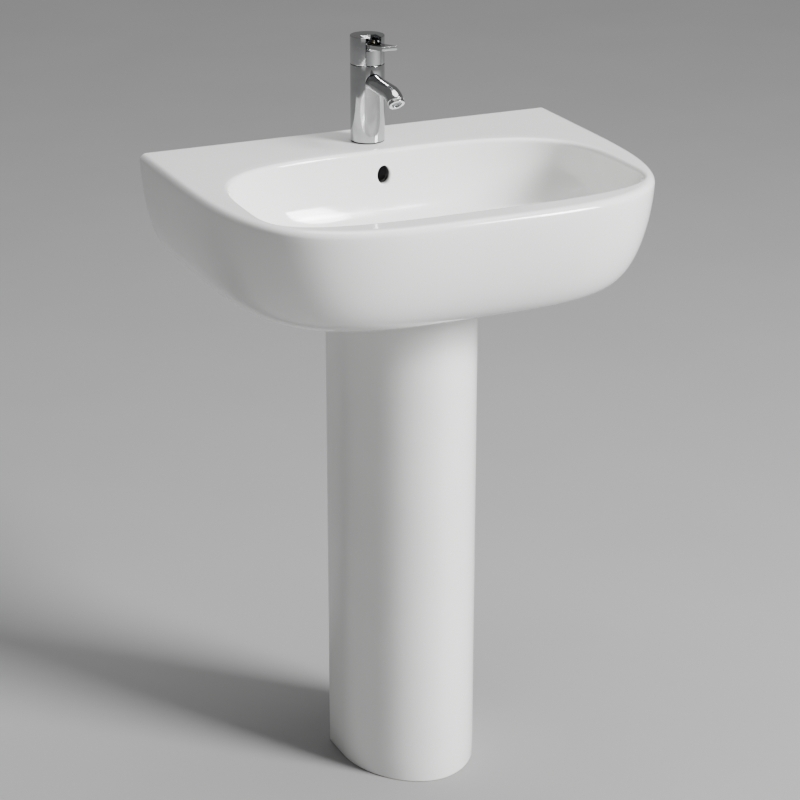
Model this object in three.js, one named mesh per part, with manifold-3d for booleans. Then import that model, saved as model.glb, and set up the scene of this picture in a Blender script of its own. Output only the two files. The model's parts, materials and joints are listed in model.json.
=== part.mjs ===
// A pedestal wash basin: a vitreous china basin on a D-shaped china column, with a single-lever
// mixer tap, a push-open waste, a bottle trap and its fixings.
//
// Millimetres. +Z is up and the floor is z = 0. The front faces -Y and the wall is the plane
// y = +depth / 2. +X is on the right of someone who stands at the basin.

import * as THREE from 'three';
import { mergeVertices } from 'three/addons/utils/BufferGeometryUtils.js';
import { ParametricGeometry } from 'three/addons/geometries/ParametricGeometry.js';
import Module from 'manifold-3d';

const wasm = await Module();
wasm.setup();

// ---------------------------------------------------------------- driving sizes, millimetres

// Gap kept between two pieces that rest on or pass through each other.
const GAP = 0.3;
// How far a cutting tool runs past the face that it opens.
const OVERRUN = 2;
// A small overlap between two solids that are joined.
const LAP = 1;
// How many flat sides stand for a full turn, on small, middling and large round pieces.
const SIDES = { tiny: 8, small: 12, thin: 16, round: 20, wide: 24, china: 28, plate: 40, rim: 44 };

const BASIN = {
  width: 600,
  depth: 450,
  rimHeight: 850,
  height: 152,
  wall: 12,
  deckThickness: 16,
  rimRadius: 9,
  sideTuck: 90,
  frontTuck: 118,
  tuckStart: 1.5,
  tuckEnd: 4,
  outlineExponent: 3.7,
  widestFromWall: 95,
  backStretch: 600,
  rowCrowding: 1.4,
  apronSteps: 10,
  hollowSteps: 5,
};

const BOWL = {
  lip: 40,
  deckDepth: 113,
  frontReach: 108,
  edgeRadius: 6,
  floorHeight: 30,
  exponent: 3.4,
  wallExponent: 2.9,
  steps: 9,
};

const DRAIN = {
  fromWall: 230,
  holeClearance: 2.1,
  seatClearance: 2,
  seatDepth: 3.2,
  bossWall: 6,
  bossThickness: 24,
};

const OVERFLOW = {
  belowRim: 34,
  halfWidth: 9,
  halfHeight: 12.5,
  ductWidth: 34,
  ductDepth: 8,
  ductWall: 6,
  ductSteps: 12,
  ductTopShare: 0.07,
  shellTopShare: 0.02,
  footShare: 0.985,
};

const SERVICE = {
  fromWall: 38,
  inset: 4,
};

const PEDESTAL = {
  fromWall: 127,
  width: 187,
  sideLength: 53,
  noseLength: 118,
  noseExponent: 1.9,
  wall: 12,
  lipWidth: 20,
};

const TAP = {
  fromWall: 60,
  holeRadius: 17.5,
  bodyHeight: 105,
  height: 143,
  edge: 0.6,
  sealThickness: 1.4,
  sealInset: 1,
  cartridgeRadius: 14,
  cartridgeFloor: 92,
  spindleRadius: 7.5,
  neckWall: 4.2,
  neckTop: 120,
  drumClearance: 1.5,
  drumWall: 3,
  drumTop: 5,
  drumEdge: 1,
  spindleSeat: 2,
  cartridgeNutHeight: 4,
  grooveHeight: 9,
  grooveHalf: 1.8,
  grooveDepth: 1.4,
  grubRadius: 1.6,
  inletRadius: 5,
  inletWall: 2,
  inletSpread: 8,
  inletBack: 5,
  inletDrop: 42,
  inletDepth: 12,
  studRadius: 4,
  studForward: 9.5,
  studLength: 52,
  studDepth: 14,
  plateThickness: 2,
  gasketThickness: 3,
  nutAcross: 13,
  nutThickness: 8,
};

const SPOUT = {
  height: 84,
  radius: 11,
  wall: 3.2,
  straight: 74,
  slope: 2,
  bend: 45,
  bendRadius: 22,
  socketDepth: 9,
  rings: 10,
  bendChords: 6,
  feedRadius: 3.5,
  feedReach: 6,
};

const AERATOR = {
  spigotLength: 4,
  ringLength: 5,
  ringInset: 0.5,
  lip: 0.6,
  shelf: 3,
  insertTop: 2.6,
  insertFoot: -3,
  jetRadius: 0.9,
  jetCircle: 3.6,
};

const LEVER = {
  width: 21,
  thickness: 5.5,
  reach: 72,
  rise: 8,
  pinForward: 8,
  pinHeight: 128.5,
  pinRadius: 2,
  hubRadius: 4.5,
  tailWidth: 3,
  tailDepth: 3,
  tipChamfer: 0.5,
  plateInset: 0.2,
  pinInset: 1.2,
};

const WASTE = {
  tubeRadius: 20.9,
  tubeWall: 3.2,
  tubeLength: 76,
  flangeOverhang: 11.1,
  flangeThickness: 2.2,
  flangeEdge: 0.8,
  dishWidth: 3,
  sealThickness: 1.5,
  plugInset: 5,
  plugRise: 9,
  plugThickness: 5,
  crownShare: 0.6,
  stemRadius: 3.5,
  barrelRadius: 7,
  barrelLength: 34,
  barrelCollar: 1.6,
  barrelRise: 3,
  barrelFloor: 2,
  lowerSealThickness: 3.4,
  nutWall: 6,
  nutHeight: 11,
  wingReach: 10,
  wingHalf: 4,
  wingDrop: 3,
  spokeHalf: 2,
  spokeDrop: 14,
  spokeHeight: 5,
  hubWall: 2.5,
  slotHalf: 8,
  slotRise: 5,
  slotBelowSeat: 6,
  capHeadroom: 2.6,
  plugSealThickness: 2,
  springWire: 0.6,
  springTurns: 5,
  stepsPerTurn: 9,
};

const TRAP = {
  pipeRadius: 16,
  pipeWall: 2,
  bottleRadius: 35,
  inletLength: 36,
  headHeight: 40,
  cupHeight: 74,
  dip: 46,
  nutHeight: 20,
  nutWall: 6,
  washerThickness: 2.4,
  collarHeight: 3,
  lipThickness: 4,
  headWall: 3,
  shoulder: 2,
  socketLength: 26,
  socketWall: 1.5,
  pipeEntry: 16,
  sealThickness: 2.5,
  cupWall: 2.6,
  cupCollar: 14,
  cupFootInset: 12,
  cupCornerInset: 4,
  cupCornerRise: 3,
  cupWaistRise: 11,
  roseRadius: 36,
  roseDepth: 9,
};

const WALL_FIXING = {
  spacing: 280,
  belowRim: 82,
  holeRadius: 7.2,
  studRadius: 5,
  studLength: 56,
  flangeRadius: 14,
  flangeThickness: 3,
  nutAcross: 17,
  nutThickness: 8,
};

const BRACKET = {
  width: 17,
  height: 38,
  foot: 34,
  thickness: 3,
  screwRadius: 2.5,
  headRadius: 5,
  headThickness: 3,
  screwHeight: 25,
  nutAcross: 8,
  nutThickness: 4,
  headTaper: 0.6,
};

// ---------------------------------------------------------------- places worked out from them

const WALL_Y = BASIN.depth / 2;
const UNDERSIDE_Z = BASIN.rimHeight - BASIN.height;
const BOWL_FLOOR_Z = UNDERSIDE_Z + BOWL.floorHeight;
const DRAIN_Y = WALL_Y - DRAIN.fromWall;
const TAP_Y = WALL_Y - TAP.fromWall;
const NECK_RADIUS = TAP.cartridgeRadius + GAP + TAP.neckWall;
const TAP_RADIUS = NECK_RADIUS + TAP.drumClearance + TAP.drumWall;
const FLANGE_RADIUS = WASTE.tubeRadius + WASTE.flangeOverhang;
const DRAIN_RADIUS = WASTE.tubeRadius + DRAIN.holeClearance;
const SEAT_RADIUS = FLANGE_RADIUS + DRAIN.seatClearance;
const PLUG_RADIUS = FLANGE_RADIUS - WASTE.plugInset;

// ---------------------------------------------------------------- finishes

const china = () => finish(0xf4f4f2, 0.12, 0.0);
const chrome = () => finish(0xd6d8da, 0.12, 1.0);
const steel = () => finish(0xa9adb0, 0.35, 1.0);
const brass = () => finish(0xc2a45c, 0.35, 1.0);
const whitePlastic = () => finish(0xeeeeec, 0.4, 0.0);
const greyPlastic = () => finish(0x9a9ea2, 0.45, 0.0);
const rubber = () => finish(0x222222, 0.8, 0.0);

function finish(color, roughness, metalness) {
  return new THREE.MeshStandardMaterial({ color, roughness, metalness });
}

// ---------------------------------------------------------------- solids and shapes

function weld(geometry) {
  const bare = geometry.index ? geometry.toNonIndexed() : geometry.clone();
  bare.deleteAttribute('normal');
  bare.deleteAttribute('uv');
  return mergeVertices(bare, 1e-4);
}

function volumeOf(points, triangles) {
  let six = 0;
  const corner = (index) => new THREE.Vector3().fromArray(points, 3 * index);
  for (let i = 0; i < triangles.length; i += 3) {
    const [a, b, c] = [corner(triangles[i]), corner(triangles[i + 1]), corner(triangles[i + 2])];
    six += a.dot(b.cross(c));
  }
  return six / 6;
}

// A closed geometry as a manifold solid, with its faces turned outwards.
function solid(geometry) {
  const welded = weld(geometry);
  const points = welded.attributes.position.array;
  const triangles = [];
  for (let i = 0; i < welded.index.count; i += 3) {
    const [a, b, c] = [0, 1, 2].map((step) => welded.index.getX(i + step));
    if (a !== b && b !== c && c !== a) triangles.push(a, b, c);
  }
  if (volumeOf(points, triangles) < 0) triangles.reverse();
  return new wasm.Manifold(new wasm.Mesh({
    numProp: 3,
    vertProperties: new Float32Array(points),
    triVerts: new Uint32Array(triangles),
  }));
}

function geometryOf(body) {
  const mesh = body.getMesh();
  const geometry = new THREE.BufferGeometry();
  geometry.setAttribute('position', new THREE.BufferAttribute(new Float32Array(mesh.vertProperties), 3));
  geometry.setIndex(new THREE.BufferAttribute(new Uint32Array(mesh.triVerts), 1));
  geometry.computeVertexNormals();
  return geometry;
}

const join = (first, ...others) => others.reduce((sum, next) => sum.add(next), first);
const cut = (first, ...tools) => tools.reduce((rest, tool) => rest.subtract(tool), first);

function piece(name, body, material) {
  const mesh = new THREE.Mesh(geometryOf(body), material);
  mesh.name = name;
  return mesh;
}

function block(x0, x1, y0, y1, z0, z1) {
  const geometry = new THREE.BoxGeometry(x1 - x0, y1 - y0, z1 - z0);
  return solid(geometry.translate((x0 + x1) / 2, (y0 + y1) / 2, (z0 + z1) / 2));
}

// A round bar between two heights, about the vertical through x, y.
function bar(radius, z0, z1, x = 0, y = 0, sides = SIDES.round) {
  const geometry = new THREE.CylinderGeometry(radius, radius, z1 - z0, sides).rotateX(Math.PI / 2);
  return solid(geometry.translate(x, y, (z0 + z1) / 2));
}

// The same along Y, from y0 to y1, about the line through x and z.
function barAlongY(radius, y0, y1, x, z, sides = SIDES.round) {
  const geometry = new THREE.CylinderGeometry(radius, radius, y1 - y0, sides);
  return solid(geometry.translate(x, (y0 + y1) / 2, z));
}

// The same along X, from x0 to x1, about the line through y and z.
function barAlongX(radius, x0, x1, y, z, sides = SIDES.round) {
  const geometry = new THREE.CylinderGeometry(radius, radius, x1 - x0, sides).rotateZ(Math.PI / 2);
  return solid(geometry.translate((x0 + x1) / 2, y, z));
}

// A profile of [radius, height] pairs turned about the vertical through x, y.
function turned(profile, x = 0, y = 0, sides = SIDES.round) {
  const points = profile.map(([radius, z]) => new THREE.Vector2(radius, z));
  return solid(new THREE.LatheGeometry(points, sides).rotateX(Math.PI / 2).translate(x, y, 0));
}

// The radius of a faceted hole whose flats stay GAP clear of a round bar.
function clearing(radius, sides = SIDES.round) {
  return (radius + GAP) / Math.cos(Math.PI / sides);
}

// A flat ring between two radii and two heights.
function washer(inner, outer, z0, z1, x = 0, y = 0, sides = SIDES.round) {
  return turned([[inner, z0], [outer, z0], [outer, z1], [inner, z1], [inner, z0]], x, y, sides);
}

// A plan outline raised between two heights.
function raised(shape, z0, z1, curveSegments = 12) {
  const options = { depth: z1 - z0, bevelEnabled: false, curveSegments };
  return solid(new THREE.ExtrudeGeometry(shape, options).translate(0, 0, z0));
}

// An outline in the Y-Z plane, carried along X from x0 to x1.
function acrossX(shape, x0, x1) {
  const toSide = new THREE.Matrix4().makeBasis(
    new THREE.Vector3(0, 1, 0),
    new THREE.Vector3(0, 0, 1),
    new THREE.Vector3(1, 0, 0),
  );
  const options = { depth: x1 - x0, bevelEnabled: false, curveSegments: 8 };
  const geometry = new THREE.ExtrudeGeometry(shape, options).applyMatrix4(toSide);
  return solid(geometry.translate(x0, 0, 0));
}

function polygon(points) {
  return new THREE.Shape(points.map(([x, y]) => new THREE.Vector2(x, y)));
}

function hexagon(across) {
  const corner = across / Math.sqrt(3);
  const angles = [0, 1, 2, 3, 4, 5].map((k) => k * Math.PI / 3);
  return polygon(angles.map((angle) => [corner * Math.cos(angle), corner * Math.sin(angle)]));
}

// A hexagon nut standing about the vertical through the origin, from z0 to z1.
function hexNut(across, holeRadius, z0, z1) {
  return cut(raised(hexagon(across), z0, z1), bar(holeRadius, z0 - OVERRUN, z1 + OVERRUN));
}

// A disc carried along a curve: a round bar that bends.
function sweptDisc(curve, radius, steps, sides = SIDES.round) {
  const disc = new THREE.Shape().absarc(0, 0, radius, 0, 2 * Math.PI);
  const options = { steps, extrudePath: curve, bevelEnabled: false, curveSegments: sides / 2 };
  return solid(new THREE.ExtrudeGeometry(disc, options));
}

const signedPower = (value, exponent) => Math.sign(value) * Math.abs(value) ** exponent;

// A body made of level rings. Each ring is a superellipse with its own half width, its own reach
// to the front and to the back of its centre line, and its height; a ring of no size is a pole.
function ringed(rings, sides) {
  const place = (u, v, target) => {
    const ring = rings[Math.round(v * (rings.length - 1))];
    const angle = 2 * Math.PI * u;
    const reach = Math.sin(angle) < 0 ? ring.front : ring.back;
    const x = ring.half * signedPower(Math.cos(angle), 2 / ring.exponent);
    const y = reach * signedPower(Math.sin(angle), 2 / ring.exponent);
    target.set(x, ring.y + y, ring.z);
  };
  return solid(new ParametricGeometry(place, sides, rings.length - 1));
}

const fractions = (count) => Array.from({ length: count + 1 }, (_, k) => k / count);

// ---------------------------------------------------------------- basin

// The outside of the basin, moved inwards by `inset`, from `top` down to `bottom`. The apron
// falls nearly upright from the rim and tucks in more and more, until it lies flat underneath:
// for a share of the whole tuck, the share of the height is (1 - (1 - tuck)^end)^(1 / start).
function basinOutside(inset, top, bottom, sides, apronSteps) {
  const y = WALL_Y - BASIN.widestFromWall;
  const level = (z, shrink, tuck) => ({
    half: BASIN.width / 2 - inset - shrink - BASIN.sideTuck * tuck,
    front: BASIN.depth - BASIN.widestFromWall - inset - shrink - BASIN.frontTuck * tuck,
    back: BASIN.backStretch,
    exponent: BASIN.outlineExponent,
    y,
    z,
  });
  const pole = (z) => ({ ...level(z, 0, 0), half: 0, front: 0, back: 0 });
  const edge = top - BASIN.rimRadius;
  const rim = fractions(3).slice(0, -1).map((step) => {
    const turn = (1 - step) * Math.PI / 2;
    return level(edge + BASIN.rimRadius * Math.sin(turn), BASIN.rimRadius * (1 - Math.cos(turn)), 0);
  });
  const apron = fractions(apronSteps).map((step) => {
    const tuck = step ** BASIN.rowCrowding;
    const fall = (1 - (1 - tuck) ** BASIN.tuckEnd) ** (1 / BASIN.tuckStart);
    return level(edge - fall * (edge - bottom), 0, tuck);
  });
  return ringed([pole(top), ...rim, ...apron, pole(bottom)], sides);
}

// The bowl's size at a share of its full depth: a superellipse in section as well as in plan.
function bowlLevel(share, grow) {
  const widest = BASIN.depth - BOWL.lip - BOWL.frontReach;
  const size = (1 - share ** BOWL.wallExponent) ** (1 / BOWL.wallExponent);
  const top = BASIN.rimHeight - BOWL.edgeRadius;
  const fromWall = DRAIN.fromWall + size * (widest - DRAIN.fromWall);
  return {
    half: size * (BASIN.width / 2 - BOWL.lip + grow),
    front: size * (BOWL.frontReach + grow),
    back: size * (widest - BOWL.deckDepth + grow),
    exponent: BOWL.exponent,
    y: WALL_Y - fromWall,
    z: top - share * (top - BOWL_FLOOR_Z + grow),
  };
}

// The bowl as a solid, grown by `grow` all round; ungrown, its mouth is flared by the edge radius.
function bowlSolid(grow, sides, steps) {
  const mouth = bowlLevel(0, grow);
  const flare = fractions(3).map((step) => {
    const turn = (1 - step) * Math.PI / 2;
    const out = grow > 0 ? 0 : BOWL.edgeRadius * (1 - Math.cos(turn));
    const z = mouth.z + BOWL.edgeRadius * Math.sin(turn);
    return { ...mouth, half: mouth.half + out, front: mouth.front + out, back: mouth.back + out, z };
  });
  const lid = { ...flare[0], z: BASIN.rimHeight + OVERRUN };
  const top = { ...lid, half: 0, front: 0, back: 0 };
  // Levels crowd towards the floor, where the wall turns quickly.
  const wall = fractions(steps).slice(1).map((step) => bowlLevel(Math.sin(step * Math.PI / 2), grow));
  return ringed([top, lid, ...flare, ...wall], sides);
}

// The line down the middle of the bowl's back, moved out by `offset`, as [y, z] points.
function bowlBackLine(offset, shares) {
  const onLine = (share) => {
    const level = bowlLevel(share, 0);
    return new THREE.Vector2(level.y + level.back, level.z);
  };
  const small = 0.004;
  return shares.map((share) => {
    const along = onLine(share + small).sub(onLine(share - small)).normalize();
    const point = onLine(share).add(new THREE.Vector2(-along.y, along.x).multiplyScalar(offset));
    return [point.x, point.y];
  });
}

// The overflow duct: a flat channel down the outside of the bowl's back to the waste hole.
function overflowDuct(near, far, halfWidth, firstShare, endY) {
  const run = OVERFLOW.footShare - firstShare;
  const shares = fractions(OVERFLOW.ductSteps).map((step) => firstShare + step * run);
  const nearLine = bowlBackLine(near, shares);
  const farLine = bowlBackLine(far, shares);
  const nearEnd = [endY, nearLine[nearLine.length - 1][1]];
  const farEnd = [endY, farLine[farLine.length - 1][1]];
  return acrossX(polygon([...nearLine, nearEnd, farEnd, ...farLine.reverse()]), -halfWidth, halfWidth);
}

// The pedestal's plan outline, moved inwards by `inset`: flat sides and a rounded nose.
function pedestalOutline(inset, rearFromWall) {
  const half = PEDESTAL.width / 2 - inset;
  const shoulder = WALL_Y - PEDESTAL.fromWall - PEDESTAL.sideLength;
  const nose = PEDESTAL.noseLength - inset;
  const rear = WALL_Y - rearFromWall;
  const arc = fractions(SIDES.china).map((step) => {
    const angle = -Math.PI * step;
    const x = half * signedPower(Math.cos(angle), 2 / PEDESTAL.noseExponent);
    const y = nose * signedPower(Math.sin(angle), 2 / PEDESTAL.noseExponent);
    return [x, shoulder + y];
  });
  return polygon([[half, rear], ...arc, [-half, rear]]);
}

function basinParts() {
  const { rimHeight, wall, hollowSteps } = BASIN;
  const outside = basinOutside(0, rimHeight, UNDERSIDE_Z, SIDES.rim, BASIN.apronSteps);
  const hollowTop = rimHeight - BASIN.deckThickness;
  const hollow = basinOutside(wall, hollowTop, UNDERSIDE_Z + wall, SIDES.china, hollowSteps);
  const far = BASIN.width;
  const behindWall = block(-far, far, WALL_Y, WALL_Y + far * 2, 0, rimHeight * 2);
  const backPanel = block(-far, far, WALL_Y - wall, WALL_Y + far * 2, 0, rimHeight * 2);
  const bossTop = BOWL_FLOOR_Z + OVERRUN;
  const bossFoot = BOWL_FLOOR_Z - DRAIN.bossThickness;
  const boss = bar(SEAT_RADIUS + DRAIN.bossWall, bossFoot, bossTop, 0, DRAIN_Y, SIDES.china);
  const ductNear = wall - LAP;
  const ductFar = wall + OVERFLOW.ductDepth + OVERFLOW.ductWall;
  const ductHalf = OVERFLOW.ductWidth / 2;
  const shellHalf = ductHalf + OVERFLOW.ductWall;
  const boreFar = wall + OVERFLOW.ductDepth;
  const ductShell = overflowDuct(ductNear, ductFar, shellHalf, OVERFLOW.shellTopShare, DRAIN_Y);
  const ductBore = overflowDuct(wall, boreFar, ductHalf, OVERFLOW.ductTopShare, DRAIN_Y);
  const overflowZ = rimHeight - OVERFLOW.belowRim;
  const slotShape = new THREE.Shape().absellipse(
    0, 0, OVERFLOW.halfWidth, OVERFLOW.halfHeight, 0, 2 * Math.PI);
  const slotLength = 2 * wall + OVERFLOW.ductDepth;
  const slotStart = WALL_Y - BOWL.deckDepth - wall / 2;
  const slotOptions = { depth: slotLength, bevelEnabled: false };
  const slotBar = new THREE.ExtrudeGeometry(slotShape, slotOptions).rotateX(Math.PI / 2);
  const slot = solid(slotBar.translate(0, slotStart + slotLength, overflowZ));
  const serviceInset = PEDESTAL.wall + SERVICE.inset;
  const service = raised(
    pedestalOutline(serviceInset, SERVICE.fromWall),
    UNDERSIDE_Z - OVERRUN,
    UNDERSIDE_Z + wall + OVERRUN,
  );
  const studZ = rimHeight - WALL_FIXING.belowRim;
  const studHoles = [-1, 1].map((side) => {
    const x = side * WALL_FIXING.spacing / 2;
    return barAlongY(WALL_FIXING.holeRadius, WALL_Y - wall - OVERRUN, WALL_Y + OVERRUN, x, studZ);
  });
  const kept = join(bowlSolid(wall, SIDES.china, hollowSteps), backPanel, boss, ductShell);
  const basin = cut(
    outside,
    behindWall,
    cut(hollow, kept),
    bowlSolid(0, SIDES.rim, BOWL.steps),
    ductBore,
    slot,
    service,
    bar(TAP.holeRadius, hollowTop - OVERRUN, rimHeight + OVERRUN, 0, TAP_Y),
    bar(DRAIN_RADIUS, UNDERSIDE_Z, BOWL_FLOOR_Z + OVERRUN, 0, DRAIN_Y, SIDES.china),
    bar(SEAT_RADIUS, BOWL_FLOOR_Z - DRAIN.seatDepth, BOWL_FLOOR_Z + OVERRUN * 2, 0, DRAIN_Y, SIDES.china),
    ...studHoles,
  );
  return [piece('basin', basin, china())];
}

// ---------------------------------------------------------------- pedestal

function pedestalParts() {
  const top = UNDERSIDE_Z - GAP;
  const shell = raised(pedestalOutline(0, PEDESTAL.fromWall), 0, top);
  const innerOutline = pedestalOutline(PEDESTAL.wall, PEDESTAL.fromWall + PEDESTAL.wall);
  const inner = raised(innerOutline, -OVERRUN, top + OVERRUN);
  const mouthHalf = PEDESTAL.width / 2 - PEDESTAL.wall - PEDESTAL.lipWidth;
  const rear = WALL_Y - PEDESTAL.fromWall;
  const mouth = block(
    -mouthHalf, mouthHalf, rear - PEDESTAL.wall - OVERRUN, rear + OVERRUN, -OVERRUN, top + OVERRUN);
  const lipInner = rear - PEDESTAL.wall;
  const bore = BRACKET.screwRadius + GAP;
  const holes = bracketSides().map(({ x }) => (
    barAlongY(bore, lipInner - OVERRUN, rear + OVERRUN, x, BRACKET.screwHeight, SIDES.thin)));
  return [piece('pedestal', cut(shell, inner, mouth, ...holes), china())];
}

function bracketSides() {
  const x = PEDESTAL.width / 2 - PEDESTAL.wall - GAP - BRACKET.width / 2;
  return [{ name: 'left', x: -x }, { name: 'right', x }];
}

// Each bracket stands inside the column: its upright leg is screwed to the rear lip and its foot
// is screwed to the floor.
function bracketParts() {
  const lipInner = WALL_Y - PEDESTAL.fromWall - PEDESTAL.wall;
  const legFront = lipInner - GAP - BRACKET.thickness;
  const footFront = legFront - BRACKET.foot;
  const floorScrewY = legFront - BRACKET.foot / 2;
  const headZ = BRACKET.thickness + GAP;
  return bracketSides().flatMap(({ name, x }) => {
    const [x0, x1] = [x - BRACKET.width / 2, x + BRACKET.width / 2];
    const leg = block(x0, x1, legFront, legFront + BRACKET.thickness, 0, BRACKET.height);
    const foot = block(x0, x1, footFront, legFront + BRACKET.thickness / 2, 0, BRACKET.thickness);
    const bore = BRACKET.screwRadius + GAP;
    const floorHole = bar(bore, -OVERRUN, headZ + OVERRUN, x, floorScrewY, SIDES.thin);
    const legHole = barAlongY(bore, legFront - OVERRUN, lipInner, x, BRACKET.screwHeight, SIDES.thin);
    const floorScrew = turned([
      [0, 0],
      [BRACKET.screwRadius, 0],
      [BRACKET.screwRadius, headZ],
      [BRACKET.headRadius, headZ],
      [BRACKET.headRadius * BRACKET.headTaper, headZ + BRACKET.headThickness],
      [0, headZ + BRACKET.headThickness],
    ], x, floorScrewY, SIDES.thin);
    const outerFace = WALL_Y - PEDESTAL.fromWall + GAP;
    const tip = legFront - BRACKET.nutThickness - OVERRUN * 2;
    const headFace = outerFace + BRACKET.headThickness;
    const sideScrew = join(
      barAlongY(BRACKET.screwRadius, tip, outerFace, x, BRACKET.screwHeight, SIDES.thin),
      barAlongY(BRACKET.headRadius, outerFace, headFace, x, BRACKET.screwHeight, SIDES.thin),
    );
    const nutShape = hexNut(BRACKET.nutAcross, BRACKET.screwRadius + GAP, 0, BRACKET.nutThickness);
    const nut = nutShape.rotate([90, 0, 0]).translate([x, legFront - GAP, BRACKET.screwHeight]);
    return [
      piece(`pedestal_bracket_${name}`, cut(join(leg, foot), floorHole, legHole), steel()),
      piece(`floor_screw_${name}`, floorScrew, steel()),
      piece(`pedestal_screw_${name}`, sideScrew, steel()),
      piece(`pedestal_nut_${name}`, nut, steel()),
    ];
  });
}

// ---------------------------------------------------------------- wall fixings

function wallFixingParts() {
  const { studRadius, flangeRadius, flangeThickness } = WALL_FIXING;
  const z = BASIN.rimHeight - WALL_FIXING.belowRim;
  const panel = BASIN.wall;
  return [['left', -1], ['right', 1]].flatMap(([name, side]) => {
    const x = side * WALL_FIXING.spacing / 2;
    // Turned upright, then laid down so that the profile's heights run forwards from the wall.
    const layDown = (body) => body.rotate([90, 0, 0]).translate([x, WALL_Y, z]);
    const bore = studRadius + GAP;
    const sleeveRadius = WALL_FIXING.holeRadius - GAP;
    const flangeBack = panel + GAP;
    const flangeFront = flangeBack + flangeThickness;
    const sleeve = turned([
      [bore, GAP],
      [sleeveRadius, GAP],
      [sleeveRadius, flangeBack],
      [flangeRadius, flangeBack],
      [flangeRadius, flangeFront],
      [bore, flangeFront],
      [bore, GAP],
    ]);
    const washerBack = flangeFront + GAP;
    const washerFront = washerBack + flangeThickness / 2;
    const nutBack = washerFront + GAP;
    const nut = hexNut(WALL_FIXING.nutAcross, bore, nutBack, nutBack + WALL_FIXING.nutThickness);
    const stud = bar(studRadius, 0, WALL_FIXING.studLength);
    const ring = washer(bore, flangeRadius, washerBack, washerFront);
    return [
      piece(`wall_stud_${name}`, layDown(stud), steel()),
      piece(`wall_sleeve_${name}`, layDown(sleeve), whitePlastic()),
      piece(`wall_washer_${name}`, layDown(ring), steel()),
      piece(`wall_nut_${name}`, layDown(nut), steel()),
    ];
  });
}

// ---------------------------------------------------------------- tap

// The spout's centre line: straight out of the column, then a bend towards the bowl. Lengths run
// forwards from the column's axis; the start sits inside the column's socket.
function spoutCurve(startFromAxis) {
  const slope = THREE.MathUtils.degToRad(SPOUT.slope);
  const bend = THREE.MathUtils.degToRad(SPOUT.bend);
  const at = (forward, height) => new THREE.Vector3(0, -forward, height);
  const heightAt = (forward) => SPOUT.height - forward * Math.tan(slope);
  const points = [startFromAxis, (startFromAxis + SPOUT.straight) / 2, SPOUT.straight]
    .map((forward) => at(forward, heightAt(forward)));
  const chords = SPOUT.bendChords;
  const turn = (bend - slope) / (chords - 1);
  const stride = SPOUT.bendRadius * turn;
  for (let chord = 0; chord < chords; chord += 1) {
    const angle = slope + chord * turn;
    const step = at(Math.cos(angle), -Math.sin(angle)).multiplyScalar(stride);
    points.push(points[points.length - 1].clone().add(step));
  }
  return { points, end: points[points.length - 1], tilt: bend };
}

function spoutBar(radius, startFromAxis, extra) {
  const { points, end, tilt } = spoutCurve(startFromAxis);
  const tip = end.clone().add(new THREE.Vector3(0, -Math.cos(tilt) * extra, -Math.sin(tilt) * extra));
  const route = new THREE.CatmullRomCurve3([...points, ...(extra > 0 ? [tip] : [])], false, 'chordal');
  return sweptDisc(route, radius, SPOUT.rings, SIDES.thin);
}

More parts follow.
